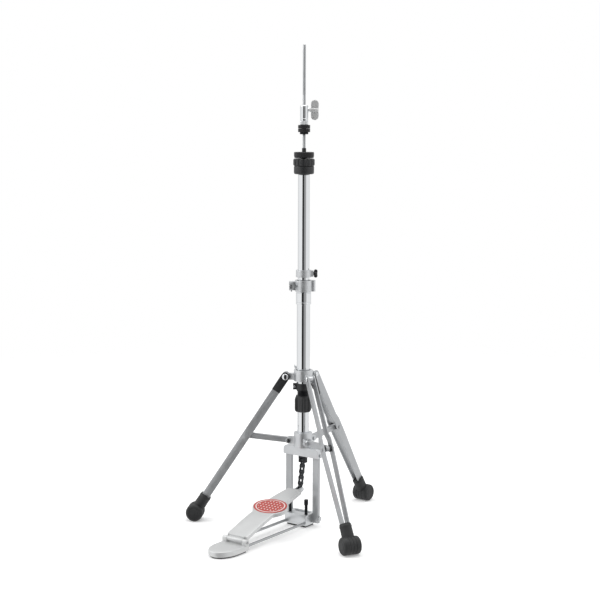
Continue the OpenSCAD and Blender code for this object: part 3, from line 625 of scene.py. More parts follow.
def bolt_head(radius, height, dome=0.5):
    """Rings of a domed bolt head standing on Z 0."""
    return [(0, 0), (radius, 0), (radius, height * dome)] + [
        (radius * math.cos(a), height * (dome + (1 - dome) * math.sin(a)))
        for a in (0.35, 0.7, 1.05, 1.35)] + [(0, height)]


def wing_piece(inner, outer, half, thick, hub, shank, shank_from):
    """A wing screw along X: wings across Z from inner to outer, hub and plain shank."""
    middle, reach = (inner + outer) / 2, (outer - inner) / 2
    steps = 28
    right, left = [], []
    for i in range(steps + 1):
        s = -1 + 2 * i / steps
        width = reach * math.sqrt(max(0.0, 1 - s ** 6)) * (0.9 + 0.1 * math.sin(math.pi * abs(s) / 1.25) ** 2)
        right.append((middle + width, half * s))
        left.append((middle - width, half * s))
    outline = right + left[-2:0:-1]
    wings = slab(outline, -thick / 2, thick / 2, thick * 0.38, 3, "wings")
    settle(wings, spin(90, "X"))
    core = turned([(0, inner - 0.002), (hub * 0.8, inner - 0.002), (hub, inner), (hub, outer - 0.003),
                   (hub * 0.7, outer - 0.001), (0, outer - 0.0006)], 40)
    settle(core, cross_on())
    stem = turned(rod_rings(shank, shank_from, inner), 32)
    settle(stem, cross_on())
    return settle(joined([wings, core, stem]))


# ---------------------------------------------------------------- frame, hub and tubes
def make_frame():
    edge, cast = sizes().edge, sizes().cast_edge
    eased("uprights", "frame_uprights", edge * 1.5)
    eased("frame_head", "frame_head_casting", cast, 3)
    eased("base_plate", "base_plate_casting", cast, 3)
    pad = slab([(0.0245, -0.024), (0.0245, 0.006), (-0.0245, 0.006), (-0.0245, -0.024)], 0, 0.005, 0.0008)
    keep(pad, "base_pad_rubber", "base_pad")
    eased("strut_hub", "strut_hub_casting", edge, 2)
    heads = []
    for side in (1, -1):
        low = turned(bolt_head(0.0052, 0.003), 6)
        settle(low, cross_on(FRAME_HALF, 0, 0.018))
        high = turned(bolt_head(0.0042, 0.002), 32)
        settle(high, cross_on(HEAD_HALF, 0, 0.1585))
        for head in (low, high):
            if side < 0:
                settle(head, Matrix.Rotation(math.pi, 4, "Z"))
            heads.append(head)
    ring_screw = turned(bolt_head(0.003, 0.0022), 32)
    settle(ring_screw, spin(SCREW_AZIMUTH, "Z")
           @ Matrix.Translation((-0.0188, -0.004, 0.3065)) @ spin(90, "X"))
    heads.append(ring_screw)
    core = copy_of("frame_bolts")
    rounded(core, edge * 0.6)
    heads.append(core)
    keep(joined(heads), "frame_bolts_and_pins", "frame_bolts")
    pins = copy_of("hub_pins")
    rounded(pins, edge, 3)
    keep(pins, "hub_pivot_pins", "hub_pins")


def make_base_tube():
    keep(turned(tube_rings(UPPER_R, 0.0107, 0.177, 0.255)), "base_tube_chrome", "base_tube")
    rings = [(0.0107, 0.255), (UPPER_R, 0.255), (UPPER_R, 0.2868)]
    pitch, z = 0.0018, 0.2872
    while z < 0.2965:
        rings += [(UPPER_R, z), (UPPER_R - 0.0007, z + pitch * 0.35), (UPPER_R - 0.0007, z + pitch * 0.6),
                  (UPPER_R, z + pitch * 0.95)]
        z += pitch
    rings += [(UPPER_R, 0.297), (LOWER_R - 0.0004, 0.297), (LOWER_R, 0.2974), (LOWER_R, 0.300),
              (UPPER_R, 0.300), (UPPER_R, 0.325), (0.0107, 0.325), (0.0107, 0.255)]
    keep(turned(rings, 72), "threaded_neck_black", "threaded_neck")


def make_tension_knob():
    low, high = 0.251, 0.287
    bore, skin = UPPER_R + 2 * RUN, 0.0160
    rings = [(bore, low), (skin - 0.0016, low), (skin - 0.0004, low + 0.0005), (skin, low + 0.002)]
    rings += [(skin, low + 0.002 + (high - low - 0.004) * i / 10) for i in range(1, 10)]
    rings += [(skin, high - 0.002), (skin - 0.0004, high - 0.0005), (skin - 0.0016, high), (bore, high),
              (bore, high - 0.004), (0.0148, high - 0.004), (0.0148, low + 0.006), (bore, low + 0.006),
              (bore, low)]
    knob = turned(rings, 144)

    def lobed(r, a, z):
        if r <= 0.0152:
            return r
        lobe = max(0.0, math.cos(LOBES * a)) ** 0.55
        rise = min(1.0, max(0.0, (z - low) / 0.005)) * min(1.0, max(0.0, (high - 0.003 - z) / 0.004))
        return r + LOBE_HEIGHT * lobe * math.sqrt(max(0.0, rise))

    reshape(knob, lobed)
    keep(knob, "tension_knob_lobed", "tension_knob", smooth=50)


def make_spring():
    low, high, turns = 0.275, 0.345, 13
    wire = sizes().wire
    idle()
    bpy.ops.mesh.primitive_circle_add(vertices=12, radius=wire, location=(0, 0, 0))
    coil = bpy.context.object
    settle(coil, Matrix.Translation((0.0076, 0, low + wire)) @ spin(90, "X"))
    screw = coil.modifiers.new("coil", "SCREW")
    screw.angle = math.tau
    screw.iterations = turns
    screw.screw_offset = (high - low - 2 * wire) / turns
    screw.steps = 24
    screw.render_steps = 24
    apply_all(coil)
    hold(coil)
    edit_all()
    bpy.ops.mesh.remove_doubles(threshold=1e-6)
    bpy.ops.mesh.select_all(action="DESELECT")
    bpy.ops.mesh.select_non_manifold()
    bpy.ops.mesh.edge_face_add()
    idle()
    outward(coil)
    keep(coil, "pull_spring_coil", "pull_spring")
    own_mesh(coil)


def make_lower_tube():
    keep(turned(tube_rings(LOWER_R, UPPER_R + RUN, 0.300, 0.514)), "lower_tube_chrome", "lower_tube")
    eased("lock_ring", "lock_ring_black", sizes().edge, 2)
    grip = [(LOWER_R, 0.486), (0.0155, 0.486), (0.0163, 0.4868), (0.0163, 0.4905), (0.0158, 0.491),
            (0.0158, 0.4916), (0.0163, 0.4921), (0.0163, 0.5105), (0.0158, 0.511), (0.0158, 0.5116),
            (0.0163, 0.5121), (0.0163, 0.5132), (0.0157, 0.514), (LOWER_R, 0.514), (LOWER_R, 0.486)]
    keep(turned(grip, 64), "clamp_grip_sleeve", "clamp_sleeve")
    eased("tube_clamp", "tube_clamp_casting", sizes().edge * 1.4, 3)
    wing = wing_piece(0.0045, 0.0100, 0.0115, 0.003, 0.0045, 0.0034, 0.0)
    nut = turned([(0.00255, 0), (0.005, 0), (0.005, 0.0095), (0.0042, 0.010), (0.00255, 0.010),
                  (0.00255, 0)], 40)
    settle(nut, cross_on())
    place = (spin(SCREW_AZIMUTH, "Z") @ Matrix.Translation((-0.026, -0.0084, 0.526))
             @ spin(-90, "Z"))
    keep(settle(joined([nut, wing]), place), "clamp_wing_nut", "clamp_wing")


def make_collar():
    eased("collar_body", "tripod_collar_casting", sizes().edge * 1.2, 3)
    parts = []
    for azimuth in LEG_AZIMUTHS.values():
        shaft = turned(rod_rings(0.003, -0.008775, 0.011375), 32)
        head = turned(bolt_head(0.007, 0.0034, 0.35), 40)
        tail = turned(bolt_head(0.0055, 0.0026, 0.35), 6)
        settle(shaft, side_on())
        settle(head, side_on(0, 0.011375, 0))
        settle(tail, Matrix.Translation((0, -0.008775, 0)) @ spin(90, "X"))
        parts.append(settle(joined([shaft, head, tail]), leg_space(azimuth)))
    keep(joined(parts), "collar_pivot_bolts", "collar_pins")
    screw = wing_piece(0.0262, 0.0385, 0.015, 0.003, 0.0045, 0.003, 0.0164)
    settle(screw, spin(-25, "X"))
    settle(screw, spin(COLLAR_SCREW_AZIMUTH, "Z"))
    settle(screw, Matrix.Translation((0, 0, 0.335)))
    keep(screw, "collar_wing_screw", "collar_screw")


def make_leg(letter):
    azimuth = LEG_AZIMUTHS[letter]
    eased(f"leg_{letter}_strips", f"leg_{letter}_strips_plated", 0.0005, 2)
    eased(f"leg_{letter}_cover", f"leg_{letter}_cover_black", 0.0009, 3)
    half, edge = 0.020, 0.006
    rings = [(0, -half), (FOOT_R - edge - 0.003, -half), (FOOT_R - edge - 0.0024, -half + 0.0006)]
    rings += [(FOOT_R - edge + edge * math.sin(a), -half + edge - edge * math.cos(a))
              for a in (0.0, 0.3, 0.6, 0.9, 1.2, 1.5708)]
    for groove in (-0.007, 0.0, 0.007):
        rings += [(FOOT_R, groove - 0.0012), (FOOT_R - 0.0008, groove - 0.0006),
                  (FOOT_R - 0.0008, groove + 0.0006), (FOOT_R, groove + 0.0012)]
    rings += [(r, -z) for r, z in reversed(rings[:9])]
    barrel = turned(rings, 72)
    settle(barrel, side_on(LEG_LENGTH, 0, 0))
    start, end = LEG_LENGTH - 0.046, LEG_LENGTH
    socket = turned([(0, start), (0.0114, start), (0.0122, start + 0.0008), (0.0124, start + 0.004),
                     (0.0130, start + 0.005), (0.0130, start + 0.007), (0.0125, start + 0.008),
                     (0.0128, start + 0.020), (0.0130, end - 0.016), (0.0130, end), (0, end)], 48)
    settle(socket, cross_on())
    union = barrel.modifiers.new("union", "BOOLEAN")
    union.operation = "UNION"
    union.solver = "EXACT"
    union.object = socket
    apply_all(barrel)
    bpy.data.objects.remove(socket)
    settle(barrel, leg_space(azimuth))
    keep(barrel, f"leg_{letter}_foot_rubber", f"leg_{letter}_foot")
    eased(f"strut_{letter}_bar", f"strut_{letter}_bar_plated", 0.0012, 3)
    eased(f"strut_{letter}_bushing", f"strut_{letter}_bushing_black", 0.0006, 2)


# ---------------------------------------------------------------- seat, memory lock
def make_seat():
    keep(turned(tube_rings(UPPER_R, 0.0112, 0.450, 0.779)), "upper_tube_chrome", "upper_tube")
    low = 0.765
    cup = [(UPPER_R, low), (0.0185, low), (0.0203, low + 0.0006), (0.0212, low + 0.002),
           (0.0215, low + 0.004),
           (0.0215, low + 0.0150), (0.0209, low + 0.0166), (0.0203, low + 0.017), (0.0045, low + 0.017),
           (0.0045, 0.8190), (0.0041, 0.820), (ROD_R + 5 * RUN, 0.820), (ROD_R + 5 * RUN, 0.779),
           (UPPER_R, 0.779), (UPPER_R, low)]
    keep(turned(cup, 72), "seat_cup_and_sleeve", "seat_cup")
    z0, z1, core = 0.7824, 0.7976, 0.0217
    rings = [(0.006, z0), (core - 0.001, z0), (core, z0 + 0.0008), (core, z0 + 0.0022)]
    rings += [(core, z0 + 0.0022 + (z1 - z0 - 0.0044) * i / 4) for i in range(1, 4)]
    rings += [(core, z1 - 0.0022), (core, z1 - 0.0008), (core - 0.001, z1), (0.006, z1), (0.006, z0)]
    ring = turned(rings, 192)
    depth = sizes().rib_depth + 0.0003

    def ribbed(r, a, z):
        if r > core - 0.0002 and z0 + 0.0015 < z < z1 - 0.0015:
            return r + depth * max(0.0, math.cos(RING_RIBS * a)) ** 0.6
        return r

    reshape(ring, ribbed)
    keep(ring, "tilt_ring_ribbed", "tilt_ring", smooth=30)
    washer = turned(tube_rings(0.0205, 0.006, 0.799, 0.801, 0.0003), 64)
    keep(washer, "seat_washer", "seat_plate", finish="black_metal")
    z0, z1, fuzz = 0.801, 0.8115, sizes().felt_fuzz
    rings = [(0.0058, z0), (0.0203, z0), (0.0211, z0 + 0.0006), (0.0215, z0 + 0.0016)]
    rings += [(0.0215, z0 + 0.0016 + (z1 - z0 - 0.0032) * i / 5) for i in range(1, 5)]
    rings += [(0.0215, z1 - 0.0016), (0.0211, z1 - 0.0006), (0.0203, z1), (0.016, z1), (0.011, z1),
              (0.0058, z1), (0.0058, z0)]
    felt = turned(rings, 120)
    roughen(felt, fuzz, 3.0)
    keep(felt, "seat_felt_washer", "seat_felt", smooth=60)
    eased("memory_lock", "memory_lock_casting", sizes().edge, 3)
    key = wing_piece(0.0220, 0.0300, 0.009, 0.004, 0.0042, 0.003, 0.0133)
    settle(key, spin(SCREW_AZIMUTH, "Z"))
    settle(key, Matrix.Translation((0, 0, 0.5525)))
    keep(key, "memory_lock_key", "memory_key")


def roughen(obj, depth, per_mm):
    """Moves each outer point a little in and out, the same way every run."""
    for vertex in obj.data.vertices:
        x, y, z = vertex.co
        r = math.hypot(x, y)
        if r > 0.009:
            wave = (math.sin(x * 1000 * per_mm * 1.7 + 1.3) * math.sin(y * 1000 * per_mm * 1.3 + 0.4)
                    * math.cos(z * 1000 * per_mm * 1.9))
            k = (r - depth * (0.5 + 0.5 * wave)) / r
            vertex.co = (x * k, y * k, z)


# ---------------------------------------------------------------- pull rod and clutch
def make_rod_and_clutch():
    top = 1.036
    rod = [(0, 0.484), (ROD_R, 0.484), (ROD_R, 0.930), (ROD_R - 0.00015, 0.9302), (ROD_R - 0.00015, 0.9318),
           (ROD_R, 0.932), (ROD_R, top - 0.001), (ROD_R - 0.0004, top - 0.0003), (ROD_R - 0.001, top),
           (0, top)]
    keep(turned(rod, 48), "upper_pull_rod", "upper_rod", finish="satin_steel")
    keep(turned(rod_rings(ROD_R, 0.14793, 0.484), 48), "lower_pull_rod", "lower_rod")
    eased("rod_collars", "rod_coupling_and_spring_seat", 0.0005)
    bore = ROD_R + RUN
    z0 = 0.877
    body = [(bore, z0), (0.0078, z0), (0.0087, z0 + 0.0009), (0.0087, z0 + 0.005), (0.0083, z0 + 0.0055),
            (0.0083, z0 + 0.0062), (0.0087, z0 + 0.0067), (0.0087, z0 + 0.0300), (0.0081, z0 + 0.0318),
            (0.0068, z0 + 0.033), (bore, z0 + 0.033), (bore, z0)]
    shell = turned(body, 64)
    boss = turned([(0.00305, 0.0055), (0.005, 0.0055), (0.005, 0.0100), (0.0045, 0.0107), (0.00305, 0.0107),
                   (0.00305, 0.0055)], 40)
    settle(boss, along_x(SCREW_AZIMUTH, 0, 0.900))
    keep(joined([shell, boss]), "clutch_body_chrome", "clutch_body")
    z0 = 0.849
    low_nut = ring_of_flats([(bore, z0), (0.0084, z0), (0.009, z0 + 0.0006), (0.009, z0 + 0.0039),
                             (0.0084, z0 + 0.0045), (0.005, z0 + 0.0045), (0.005, 0.8685), (0.0084, 0.8685),
                             (0.009, 0.8691), (0.009, 0.8764), (0.0084, 0.877), (bore, 0.877), (bore, z0)])
    keep(low_nut, "clutch_bolt_and_nuts", "clutch_bolt", smooth=28)
    # the top nut is plated, the rest of the bolt is black
    low_nut.data.materials.append(finish_of("chrome"))
    for face in low_nut.data.polygons:
        if face.center.z > 0.8684:
            face.material_index = 1
    felts = []
    for z0 in (0.8535, 0.8612):
        z1 = z0 + 0.0073
        felt = turned([(0.005, z0), (0.0126, z0), (0.013, z0 + 0.0004), (0.013, z0 + 0.002),
                       (0.013, z0 + 0.0036),
                       (0.013, z1 - 0.002), (0.013, z1 - 0.0004), (0.0126, z1), (0.005, z1), (0.005, z0)], 96)
        roughen(felt, sizes().felt_fuzz, 3.0)
        felts.append(felt)
    keep(joined(felts), "clutch_felt_pair", "clutch_felts", smooth=60)
    screw = wing_piece(0.0140, 0.0310, 0.0215, 0.0035, 0.0045, 0.003, 0.003625)
    settle(screw, spin(SCREW_AZIMUTH, "Z"))
    settle(screw, Matrix.Translation((0, 0, 0.900)))
    keep(screw, "clutch_wing_screw", "clutch_screw", finish="pedal_metal")


def ring_of_flats(rings):
    """Nuts on the clutch bolt: a lathe piece whose wide parts are knurled."""
    return reshape(turned(rings, 120),
                   lambda r, a, z: fluted(r, a, 0.0005, NUT_KNURLS) if r > 0.0088 else r)


# ---------------------------------------------------------------- chain
def chain_place():
    return Matrix.Translation((0, 0, CHAIN_TOP_Z)) @ spin(-CHAIN_LEAN, "X")


def link_outline():
    """Waisted side plate of a roller chain, one pitch long, pointing down its local -Y."""
    radius, waist, points = 0.0049, 0.0034, []
    for i in range(13):
        a = math.radians(-28 + 236 * i / 12)
        points.append((radius * math.cos(a), radius * math.sin(a)))
    points.append((-waist, -CHAIN_PITCH / 2))
    for i in range(13):
        a = math.radians(152 + 236 * i / 12)
        points.append((radius * math.cos(a), -CHAIN_PITCH + radius * math.sin(a)))
    points.append((waist, -CHAIN_PITCH / 2))
    return points


def make_chain():
    inner, thick = 0.0024, 0.0011
    parts = []
    for i in range(CHAIN_LINKS):
        x0 = inner + (i % 2) * thick
        for side in (1, -1):
            plate = slab(link_outline(), 0, thick * 0.96, 0.00022, 2, "plate")
            place = spin(90, "Z") @ spin(90, "X")
            settle(plate, place)
            offset = x0 if side > 0 else -x0 - thick * 0.96
            settle(plate, Matrix.Translation((offset, 0, -i * CHAIN_PITCH)))
            parts.append(plate)
    for i in range(CHAIN_LINKS + 1):
        bore = {0: 0.00185, CHAIN_LINKS: 0.0029}.get(i)
        width = inner
        if bore:
            roller = turned(tube_rings(0.0039, bore, -width, width, 0.0003), 32)
        else:
            roller = turned(rod_rings(0.0039, -width, width, 0.0003), 32)
            for side in (1, -1):
                head = turned([(0, 0), (0.0019, 0), (0.0019, 0.0003), (0.0013, 0.0006), (0, 0.0007)], 20)
                settle(head, Matrix.Translation((side * (inner + 2 * thick - 0.0001), 0, -i * CHAIN_PITCH))
                       @ spin(90 * side, "Y"))
                parts.append(head)
        settle(roller, cross_on(0, 0, -i * CHAIN_PITCH))
        parts.append(roller)
    keep(settle(joined(parts), chain_place()), "roller_chain", "chain")
    eased("chain_connector", "chain_connector_black", 0.0008, 3)
    eased("toe_clevis", "toe_clevis_casting", 0.0007, 2)


# ---------------------------------------------------------------- pedal
BOARD_Y0, BOARD_Y1 = -0.231, -0.030
BOARD_Z0, BOARD_Z1 = 0.030, 0.0845
BOARD_SAG = 0.0053
BOARD_HEEL, BOARD_WIDE, BOARD_TOE = 0.026, 0.042, 0.018
BOARD_TAPER_Y, BOARD_WIDE_Y, BOARD_WIDE_L = -0.150, -0.117, 0.030


def board_half(y):
    """Half width of the footboard: a strip that narrows to the toe, with a round middle."""
    taper = max(0.0, (y - BOARD_TAPER_Y) / (BOARD_Y1 - BOARD_TAPER_Y))
    strip = BOARD_HEEL - (BOARD_HEEL - BOARD_TOE) * taper ** 2
    middle = BOARD_WIDE * math.sqrt(max(0.0, 1 - ((y - BOARD_WIDE_Y) / BOARD_WIDE_L) ** 2))
    return (strip ** 8 + middle ** 8) ** 0.125


def board_height(y):
    """Height of the footboard's top: a shallow arc."""
    s = (y - BOARD_Y0) / (BOARD_Y1 - BOARD_Y0)
    return BOARD_Z0 + (BOARD_Z1 - BOARD_Z0) * s + 4 * BOARD_SAG * s * (1 - s)


def make_footboard():
    across, along = 28, 96
    idle()
    bpy.ops.mesh.primitive_grid_add(x_subdivisions=across, y_subdivisions=along, size=2)
    board = bpy.context.object
    for vertex in board.data.vertices:
        u, t = vertex.co.x, (vertex.co.y + 1) / 2
        y = BOARD_Y0 + t * (BOARD_Y1 - BOARD_Y0)
        vertex.co = (board_half(y) * u, y, board_height(y) - 0.0012 * abs(u) ** 6)
    bpy.ops.object.mode_set(mode="EDIT")
    bpy.ops.mesh.select_all(action="DESELECT")
    bpy.ops.mesh.select_mode(type="FACE")
    idle()
    for face in board.data.polygons:
        c = face.center
        face.select = c.y < BOARD_Y0 + 0.003 and abs(c.x) > 0.0195
    bpy.ops.object.select_all(action="DESELECT")
    hold(board)
    bpy.ops.object.mode_set(mode="EDIT")
    bpy.ops.mesh.delete(type="FACE")
    bpy.ops.mesh.select_mode(type="EDGE")
    bpy.ops.mesh.select_all(action="DESELECT")
    bpy.ops.mesh.select_non_manifold()
    depth = sizes().board_flange
    bpy.ops.mesh.extrude_region_move(TRANSFORM_OT_translate={"value": (0, 0, -0.0008)})
    bpy.ops.mesh.extrude_region_move(TRANSFORM_OT_translate={"value": (0, 0, -(depth - 0.0008))})
    bpy.ops.mesh.select_all(action="SELECT")
    bpy.ops.mesh.normals_make_consistent(inside=False)
    idle()
    shell = board.modifiers.new("skin", "SOLIDIFY")
    shell.thickness = sizes().board_skin
    shell.offset = -1
    shell.use_even_offset = True
    apply_all(board)
    rounded(board, 0.0007, 2, 40)
    knuckle = turned(tube_rings(0.005, 0.00255, -0.0195, 0.0195, 0.0005), 40)
    settle(knuckle, cross_on(0, HINGE_Y, HINGE_Z))
    web = slab([(-0.0195, HINGE_Y + 0.003), (0.0195, HINGE_Y + 0.003), (0.0195, BOARD_Y0 + 0.003),
                (-0.0195, BOARD_Y0 + 0.003)], HINGE_Z, HINGE_Z + 0.0048, 0.0006)
    keep(joined([board, knuckle, web]), "footboard_shell", "footboard", smooth=45)


def make_oval():
    """The printed grip oval lies on the footboard, 0.35 mm thick."""
    idle()
    bpy.ops.mesh.primitive_grid_add(x_subdivisions=36, y_subdivisions=30, size=2)
    oval = bpy.context.object
    for vertex in oval.data.vertices:
        u, v = vertex.co.x, vertex.co.y
        x = u * math.sqrt(max(0.0, 1 - v * v / 2))
        y = v * math.sqrt(max(0.0, 1 - u * u / 2))
        y_row = -OVAL_Y + y * OVAL_HALF_LENGTH
        vertex.co = (x * OVAL_HALF_WIDTH, y_row, board_height(y_row) - 0.00002)
    shell = oval.modifiers.new("ink", "SOLIDIFY")
    shell.thickness = 0.00035
    shell.offset = 1
    apply_all(oval)
    outward(oval)
    hold(oval)
    bpy.ops.object.shade_smooth_by_angle(angle=math.radians(40))
    idle()
    oval.name = "footboard_grip_oval"
    oval.data.materials.append(finish_of("oval"))
    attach(oval, "pedal")


def heel_outline():
    """The heel plate seen from above: straight sides, then half an oval."""
    half, front, straight, reach = 0.032, HINGE_Y + 0.0065, HINGE_Y - 0.027, 0.047
    points = [(half, front)]
    for i in range(49):
        a = math.pi * i / 48
        points.append((half * math.cos(a), straight - reach * math.sin(a)))
    points.append((-half, front))
    return points


def make_heel():
    plate = slab(heel_outline()[::-1], 0.003, 0.015, 0.0, 1, "heel")
    rounded(plate, 0.0028, 4, 50)
    parts = [plate]
    for side in (1, -1):
        x0, x1 = (0.0199, 0.0315) if side > 0 else (-0.0315, -0.0199)
        knuckle = turned(tube_rings(0.005, 0.0025, x0, x1, 0.0005), 40)
        settle(knuckle, cross_on(0, HINGE_Y, HINGE_Z))
        back, front = HINGE_Y - 0.005, HINGE_Y + 0.005
        foot = slab([(x0, back), (x1, back), (x1, front), (x0, front)], 0.0145, HINGE_Z, 0.0006)
        parts += [knuckle, foot]
    keep(joined(parts), "heel_plate_casting", "heel_plate", smooth=45)
    eased("heel_pad", "heel_pad_rubber", 0.0006)
    rods = []
    for x in (-0.024, 0.024):
        rod = turned(rod_rings(0.003, -0.245, -0.023, 0.0005), 32)
        settle(rod, side_on(x, 0, 0.0105))
        rods.append(rod)
    keep(joined(rods), "radius_rods_plated", "radius_rods")


def make_spurs():
    for side, node in ((-1, "spur_left"), (1, "spur_right")):
        rings = [(0, 0.001), (0.0008, 0.001), (0.0035, 0.005)]
        z, pitch = 0.0062, 0.0016
        while z < 0.0475:
            rings += [(0.0035, z), (0.0029, z + pitch * 0.4), (0.0035, z + pitch * 0.8)]
            z += pitch
        rings += [(0.0035, 0.049), (0.0040, 0.049), (0.0046, 0.0496), (0.0046, 0.060), (0.0040, 0.061),
                  (0, 0.061)]
        spur = turned(rings, 36)
        reshape(spur, lambda r, a, z: fluted(r, a, 0.0004, SPUR_FLUTES) if r > 0.0044 else r)
        settle(spur, Matrix.Translation((side * 0.0215, -0.017, 0)))
        keep(spur, node + "_anchor_screw", node)


def finish_inner_nodes():
    """The pieces inside the tubes stay as they are and get their finishes."""
    for node in ("guide_bushings", "spring_cup", "collar_bushing"):
        obj = frame["nodes"][node]
        obj.data.materials.clear()
        obj.data.materials.append(finish_of(SLOTS[node]))


# ---------------------------------------------------------------- studio
def make_studio():
    idle()
    bpy.ops.mesh.primitive_circle_add(vertices=96, radius=7.0, fill_type="NGON", location=(0, 0, -0.0002))
    ground = bpy.context.object
    settle(ground)
    ground.name = "studio_floor"
    ground.data.materials.append(finish_of("floor"))
    ground.visible_glossy = False
    scene = bpy.context.scene
    scene.world = studio_world()

    def light(name, place, aim, size, power):
        lamp = bpy.data.lights.new(name, "AREA")
        lamp.shape = "RECTANGLE"
        lamp.size, lamp.size_y = size
        lamp.energy = power
        obj = bpy.data.objects.new(name, lamp)
        scene.collection.objects.link(obj)
        obj.location = place
        obj.rotation_euler = (Vector(aim) - Vector(place)).to_track_quat("-Z", "Y").to_euler()

    light("key_light", (-2.2, -1.6, 2.6), (0, 0, 0.45), (1.2, 2.0), 26)
    light("top_light", (0.2, 0.4, 3.4), (0, 0, 0.3), (2.4, 2.4), 30)
    camera = bpy.data.cameras.new("camera")
    camera.lens = 84.5
    camera.sensor_width = 36
    camera.clip_end = 50
    obj = bpy.data.objects.new("camera", camera)
    scene.collection.objects.link(obj)
    azimuth = math.radians(CAMERA_AZIMUTH)
    obj.location = (3.0 * math.sin(azimuth), -3.0 * math.cos(azimuth), 0.903)
    aim = (Vector((-0.0061, -0.0044, 0.495)) - obj.location).to_track_quat("-Z", "Y")
    obj.rotation_euler = (aim @ Quaternion((0, 0, 1), math.radians(CAMERA_ROLL))).to_euler()
    scene.camera = obj
    scene.view_settings.view_transform = "Standard"


CAMERA_AZIMUTH = 36.1
CAMERA_ROLL = 0.19


def studio_world():
    """White walls with one tall dark doorway and a grey wall, which give the plated tubes their stripes."""
    world = bpy.data.worlds.new("studio_walls")
    world.use_nodes = True
    tree = world.node_tree
    tree.nodes.clear()
    place = add(tree, "ShaderNodeTexCoord")
    split = add(tree, "ShaderNodeSeparateXYZ", {"Vector": place.outputs["Generated"]})
    turn = add(tree, "ShaderNodeMath", {0: split.outputs[1], 1: split.outputs[0]}, operation="ARCTAN2")
    round_room = add(tree, "ShaderNodeMapRange", {"Value": turn.outputs[0], "From Min": -math.pi,
                                                   "From Max": math.pi, "To Min": 0.0, "To Max": 1.0})
    walls = add(tree, "ShaderNodeValToRGB", {"Fac": round_room.outputs[0]})
    stops = walls.color_ramp
    stops.interpolation = "LINEAR"
    # bearing in degrees and grey; the doorway lies between -81 and -52, the grey wall to -12
    rows = [(-180, 0.84), (-150, 1.0), (-84, 1.0), (-81, 0.02), (-52, 0.02), (-49, 0.32), (-12, 0.45),
            (-6, 0.95), (60, 0.95), (120, 0.76), (180, 0.84)]
    while len(stops.elements) < len(rows):
        stops.elements.new(0.5)
    for element, (degrees, grey) in zip(stops.elements, rows):
        element.position = (degrees + 180) / 360
        element.color = (grey, grey, grey, 1)
    high = add(tree, "ShaderNodeMapRange", {"Value": split.outputs[2], "From Min": 0.55, "From Max": 0.8,
                                             "To Min": 0.0, "To Max": 1.0})
    room = add(tree, "ShaderNodeMix", {"Factor": high.outputs[0], 6: walls.outputs[0], 7: (0.9, 0.9, 0.9, 1)},
               data_type="RGBA")
    seen = add(tree, "ShaderNodeLightPath")
    plain = add(tree, "ShaderNodeMix", {"Factor": seen.outputs["Is Camera Ray"], 6: room.outputs[2],
                                         7: (1, 1, 1, 1)}, data_type="RGBA")
    back = add(tree, "ShaderNodeBackground", {"Color": plain.outputs[2], "Strength": 1.0})
    add(tree, "ShaderNodeOutputWorld", {"Surface": back.outputs[0]})
    return world


# ---------------------------------------------------------------- operators, panel, run
class HIHAT_OT_studio(bpy.types.Operator):
    """Adds the floor, the lights and the camera"""

    bl_idname = "hihat.studio"
    bl_label = "Studio"

    def execute(self, context):
        make_studio()
        return {"FINISHED"}


class HIHAT_OT_frame(bpy.types.Operator):
    """Builds the uprights, the head, the base plate and the hub"""

    bl_idname = "hihat.frame"
    bl_label = "Frame"

    def execute(self, context):
        make_frame()
        return {"FINISHED"}


class HIHAT_OT_base_tube(bpy.types.Operator):
    """Builds the base tube and the threaded neck"""

    bl_idname = "hihat.base_tube"
    bl_label = "Base Tube"

    def execute(self, context):
        make_base_tube()
        return {"FINISHED"}


class HIHAT_OT_tension_knob(bpy.types.Operator):
    """Builds the lobed knob under the tripod"""

    bl_idname = "hihat.tension_knob"
    bl_label = "Tension Knob"

    def execute(self, context):
        make_tension_knob()
        return {"FINISHED"}


class HIHAT_OT_spring(bpy.types.Operator):
    """Winds the pull spring inside the tubes"""

    bl_idname = "hihat.spring"
    bl_label = "Pull Spring"

    def execute(self, context):
        make_spring()
        return {"FINISHED"}


class HIHAT_OT_lower_tube(bpy.types.Operator):
    """Builds the lower tube, its ring and its clamp"""

    bl_idname = "hihat.lower_tube"
    bl_label = "Lower Tube"

    def execute(self, context):
        make_lower_tube()
        return {"FINISHED"}


class HIHAT_OT_collar(bpy.types.Operator):
    """Builds the sliding collar and its bolts"""

    bl_idname = "hihat.collar"
    bl_label = "Tripod Collar"

    def execute(self, context):
        make_collar()
        return {"FINISHED"}


class HIHAT_OT_legs(bpy.types.Operator):
    """Builds the three legs with their feet and struts"""

    bl_idname = "hihat.legs"
    bl_label = "Legs"

    def execute(self, context):
        for letter in LEG_AZIMUTHS:
            make_leg(letter)
        return {"FINISHED"}


class HIHAT_OT_seat(bpy.types.Operator):
    """Builds the upper tube, the seat and the memory lock"""

    bl_idname = "hihat.seat"
    bl_label = "Cymbal Seat"

    def execute(self, context):
        make_seat()
        return {"FINISHED"}


class HIHAT_OT_clutch(bpy.types.Operator):
    """Builds the pull rod and the clutch"""

    bl_idname = "hihat.clutch"
    bl_label = "Clutch"

    def execute(self, context):
        make_rod_and_clutch()
        return {"FINISHED"}


class HIHAT_OT_chain(bpy.types.Operator):
    """Builds the chain, its connector and the toe clevis"""

    bl_idname = "hihat.chain"
    bl_label = "Chain"

    def execute(self, context):
        make_chain()
        return {"FINISHED"}


class HIHAT_OT_footboard(bpy.types.Operator):
    """Builds the footboard and its printed oval"""

    bl_idname = "hihat.footboard"
    bl_label = "Footboard"

    def execute(self, context):
        make_footboard()
        make_oval()
        return {"FINISHED"}


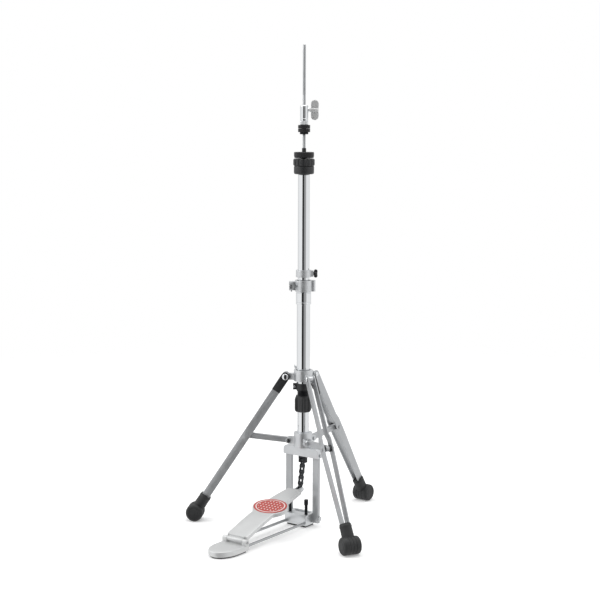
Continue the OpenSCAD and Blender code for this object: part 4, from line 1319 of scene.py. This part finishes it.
class HIHAT_OT_heel(bpy.types.Operator):
    """Builds the heel plate and the radius rods"""

    bl_idname = "hihat.heel"
    bl_label = "Heel Plate"

    def execute(self, context):
        make_heel()
        return {"FINISHED"}


class HIHAT_OT_spurs(bpy.types.Operator):
    """Builds the two anchor screws"""

    bl_idname = "hihat.spurs"
    bl_label = "Spurs"

    def execute(self, context):
        make_spurs()
        return {"FINISHED"}


class HIHAT_OT_inner(bpy.types.Operator):
    """Gives the hidden pieces their finishes"""

    bl_idname = "hihat.inner"
    bl_label = "Inner Pieces"

    def execute(self, context):
        finish_inner_nodes()
        return {"FINISHED"}


OPERATORS = [
    HIHAT_OT_studio, HIHAT_OT_frame, HIHAT_OT_base_tube, HIHAT_OT_tension_knob, HIHAT_OT_spring,
    HIHAT_OT_lower_tube, HIHAT_OT_collar, HIHAT_OT_legs, HIHAT_OT_seat, HIHAT_OT_clutch,
    HIHAT_OT_chain, HIHAT_OT_footboard, HIHAT_OT_heel, HIHAT_OT_spurs, HIHAT_OT_inner,
]


class HIHAT_PT_panel(bpy.types.Panel):
    """Lists the stand's pieces"""

    bl_label = "Hi-Hat Stand"
    bl_idname = "HIHAT_PT_panel"
    bl_space_type = "VIEW_3D"
    bl_region_type = "UI"
    bl_category = "Hi-Hat Stand"

    def draw(self, context):
        for made in OPERATORS:
            self.layout.operator(made.bl_idname)
        for group in (context.scene.hihat_sizes, context.scene.hihat_colours):
            for name in group.bl_rna.properties.keys():
                if name not in ("rna_type", "name"):
                    self.layout.prop(group, name)


CLASSES = [HihatSizes, HihatColours, *OPERATORS, HIHAT_PT_panel]


def register():
    for cls in CLASSES:
        bpy.utils.register_class(cls)
    bpy.types.Scene.hihat_sizes = bpy.props.PointerProperty(type=HihatSizes)
    bpy.types.Scene.hihat_colours = bpy.props.PointerProperty(type=HihatColours)


def unregister():
    del bpy.types.Scene.hihat_colours
    del bpy.types.Scene.hihat_sizes
    for cls in reversed(CLASSES):
        bpy.utils.unregister_class(cls)


def main():
    register()
    for made in OPERATORS:
        group, name = made.bl_idname.split(".")
        getattr(getattr(bpy.ops, group), name)()


if __name__ == "__main__":
    main()
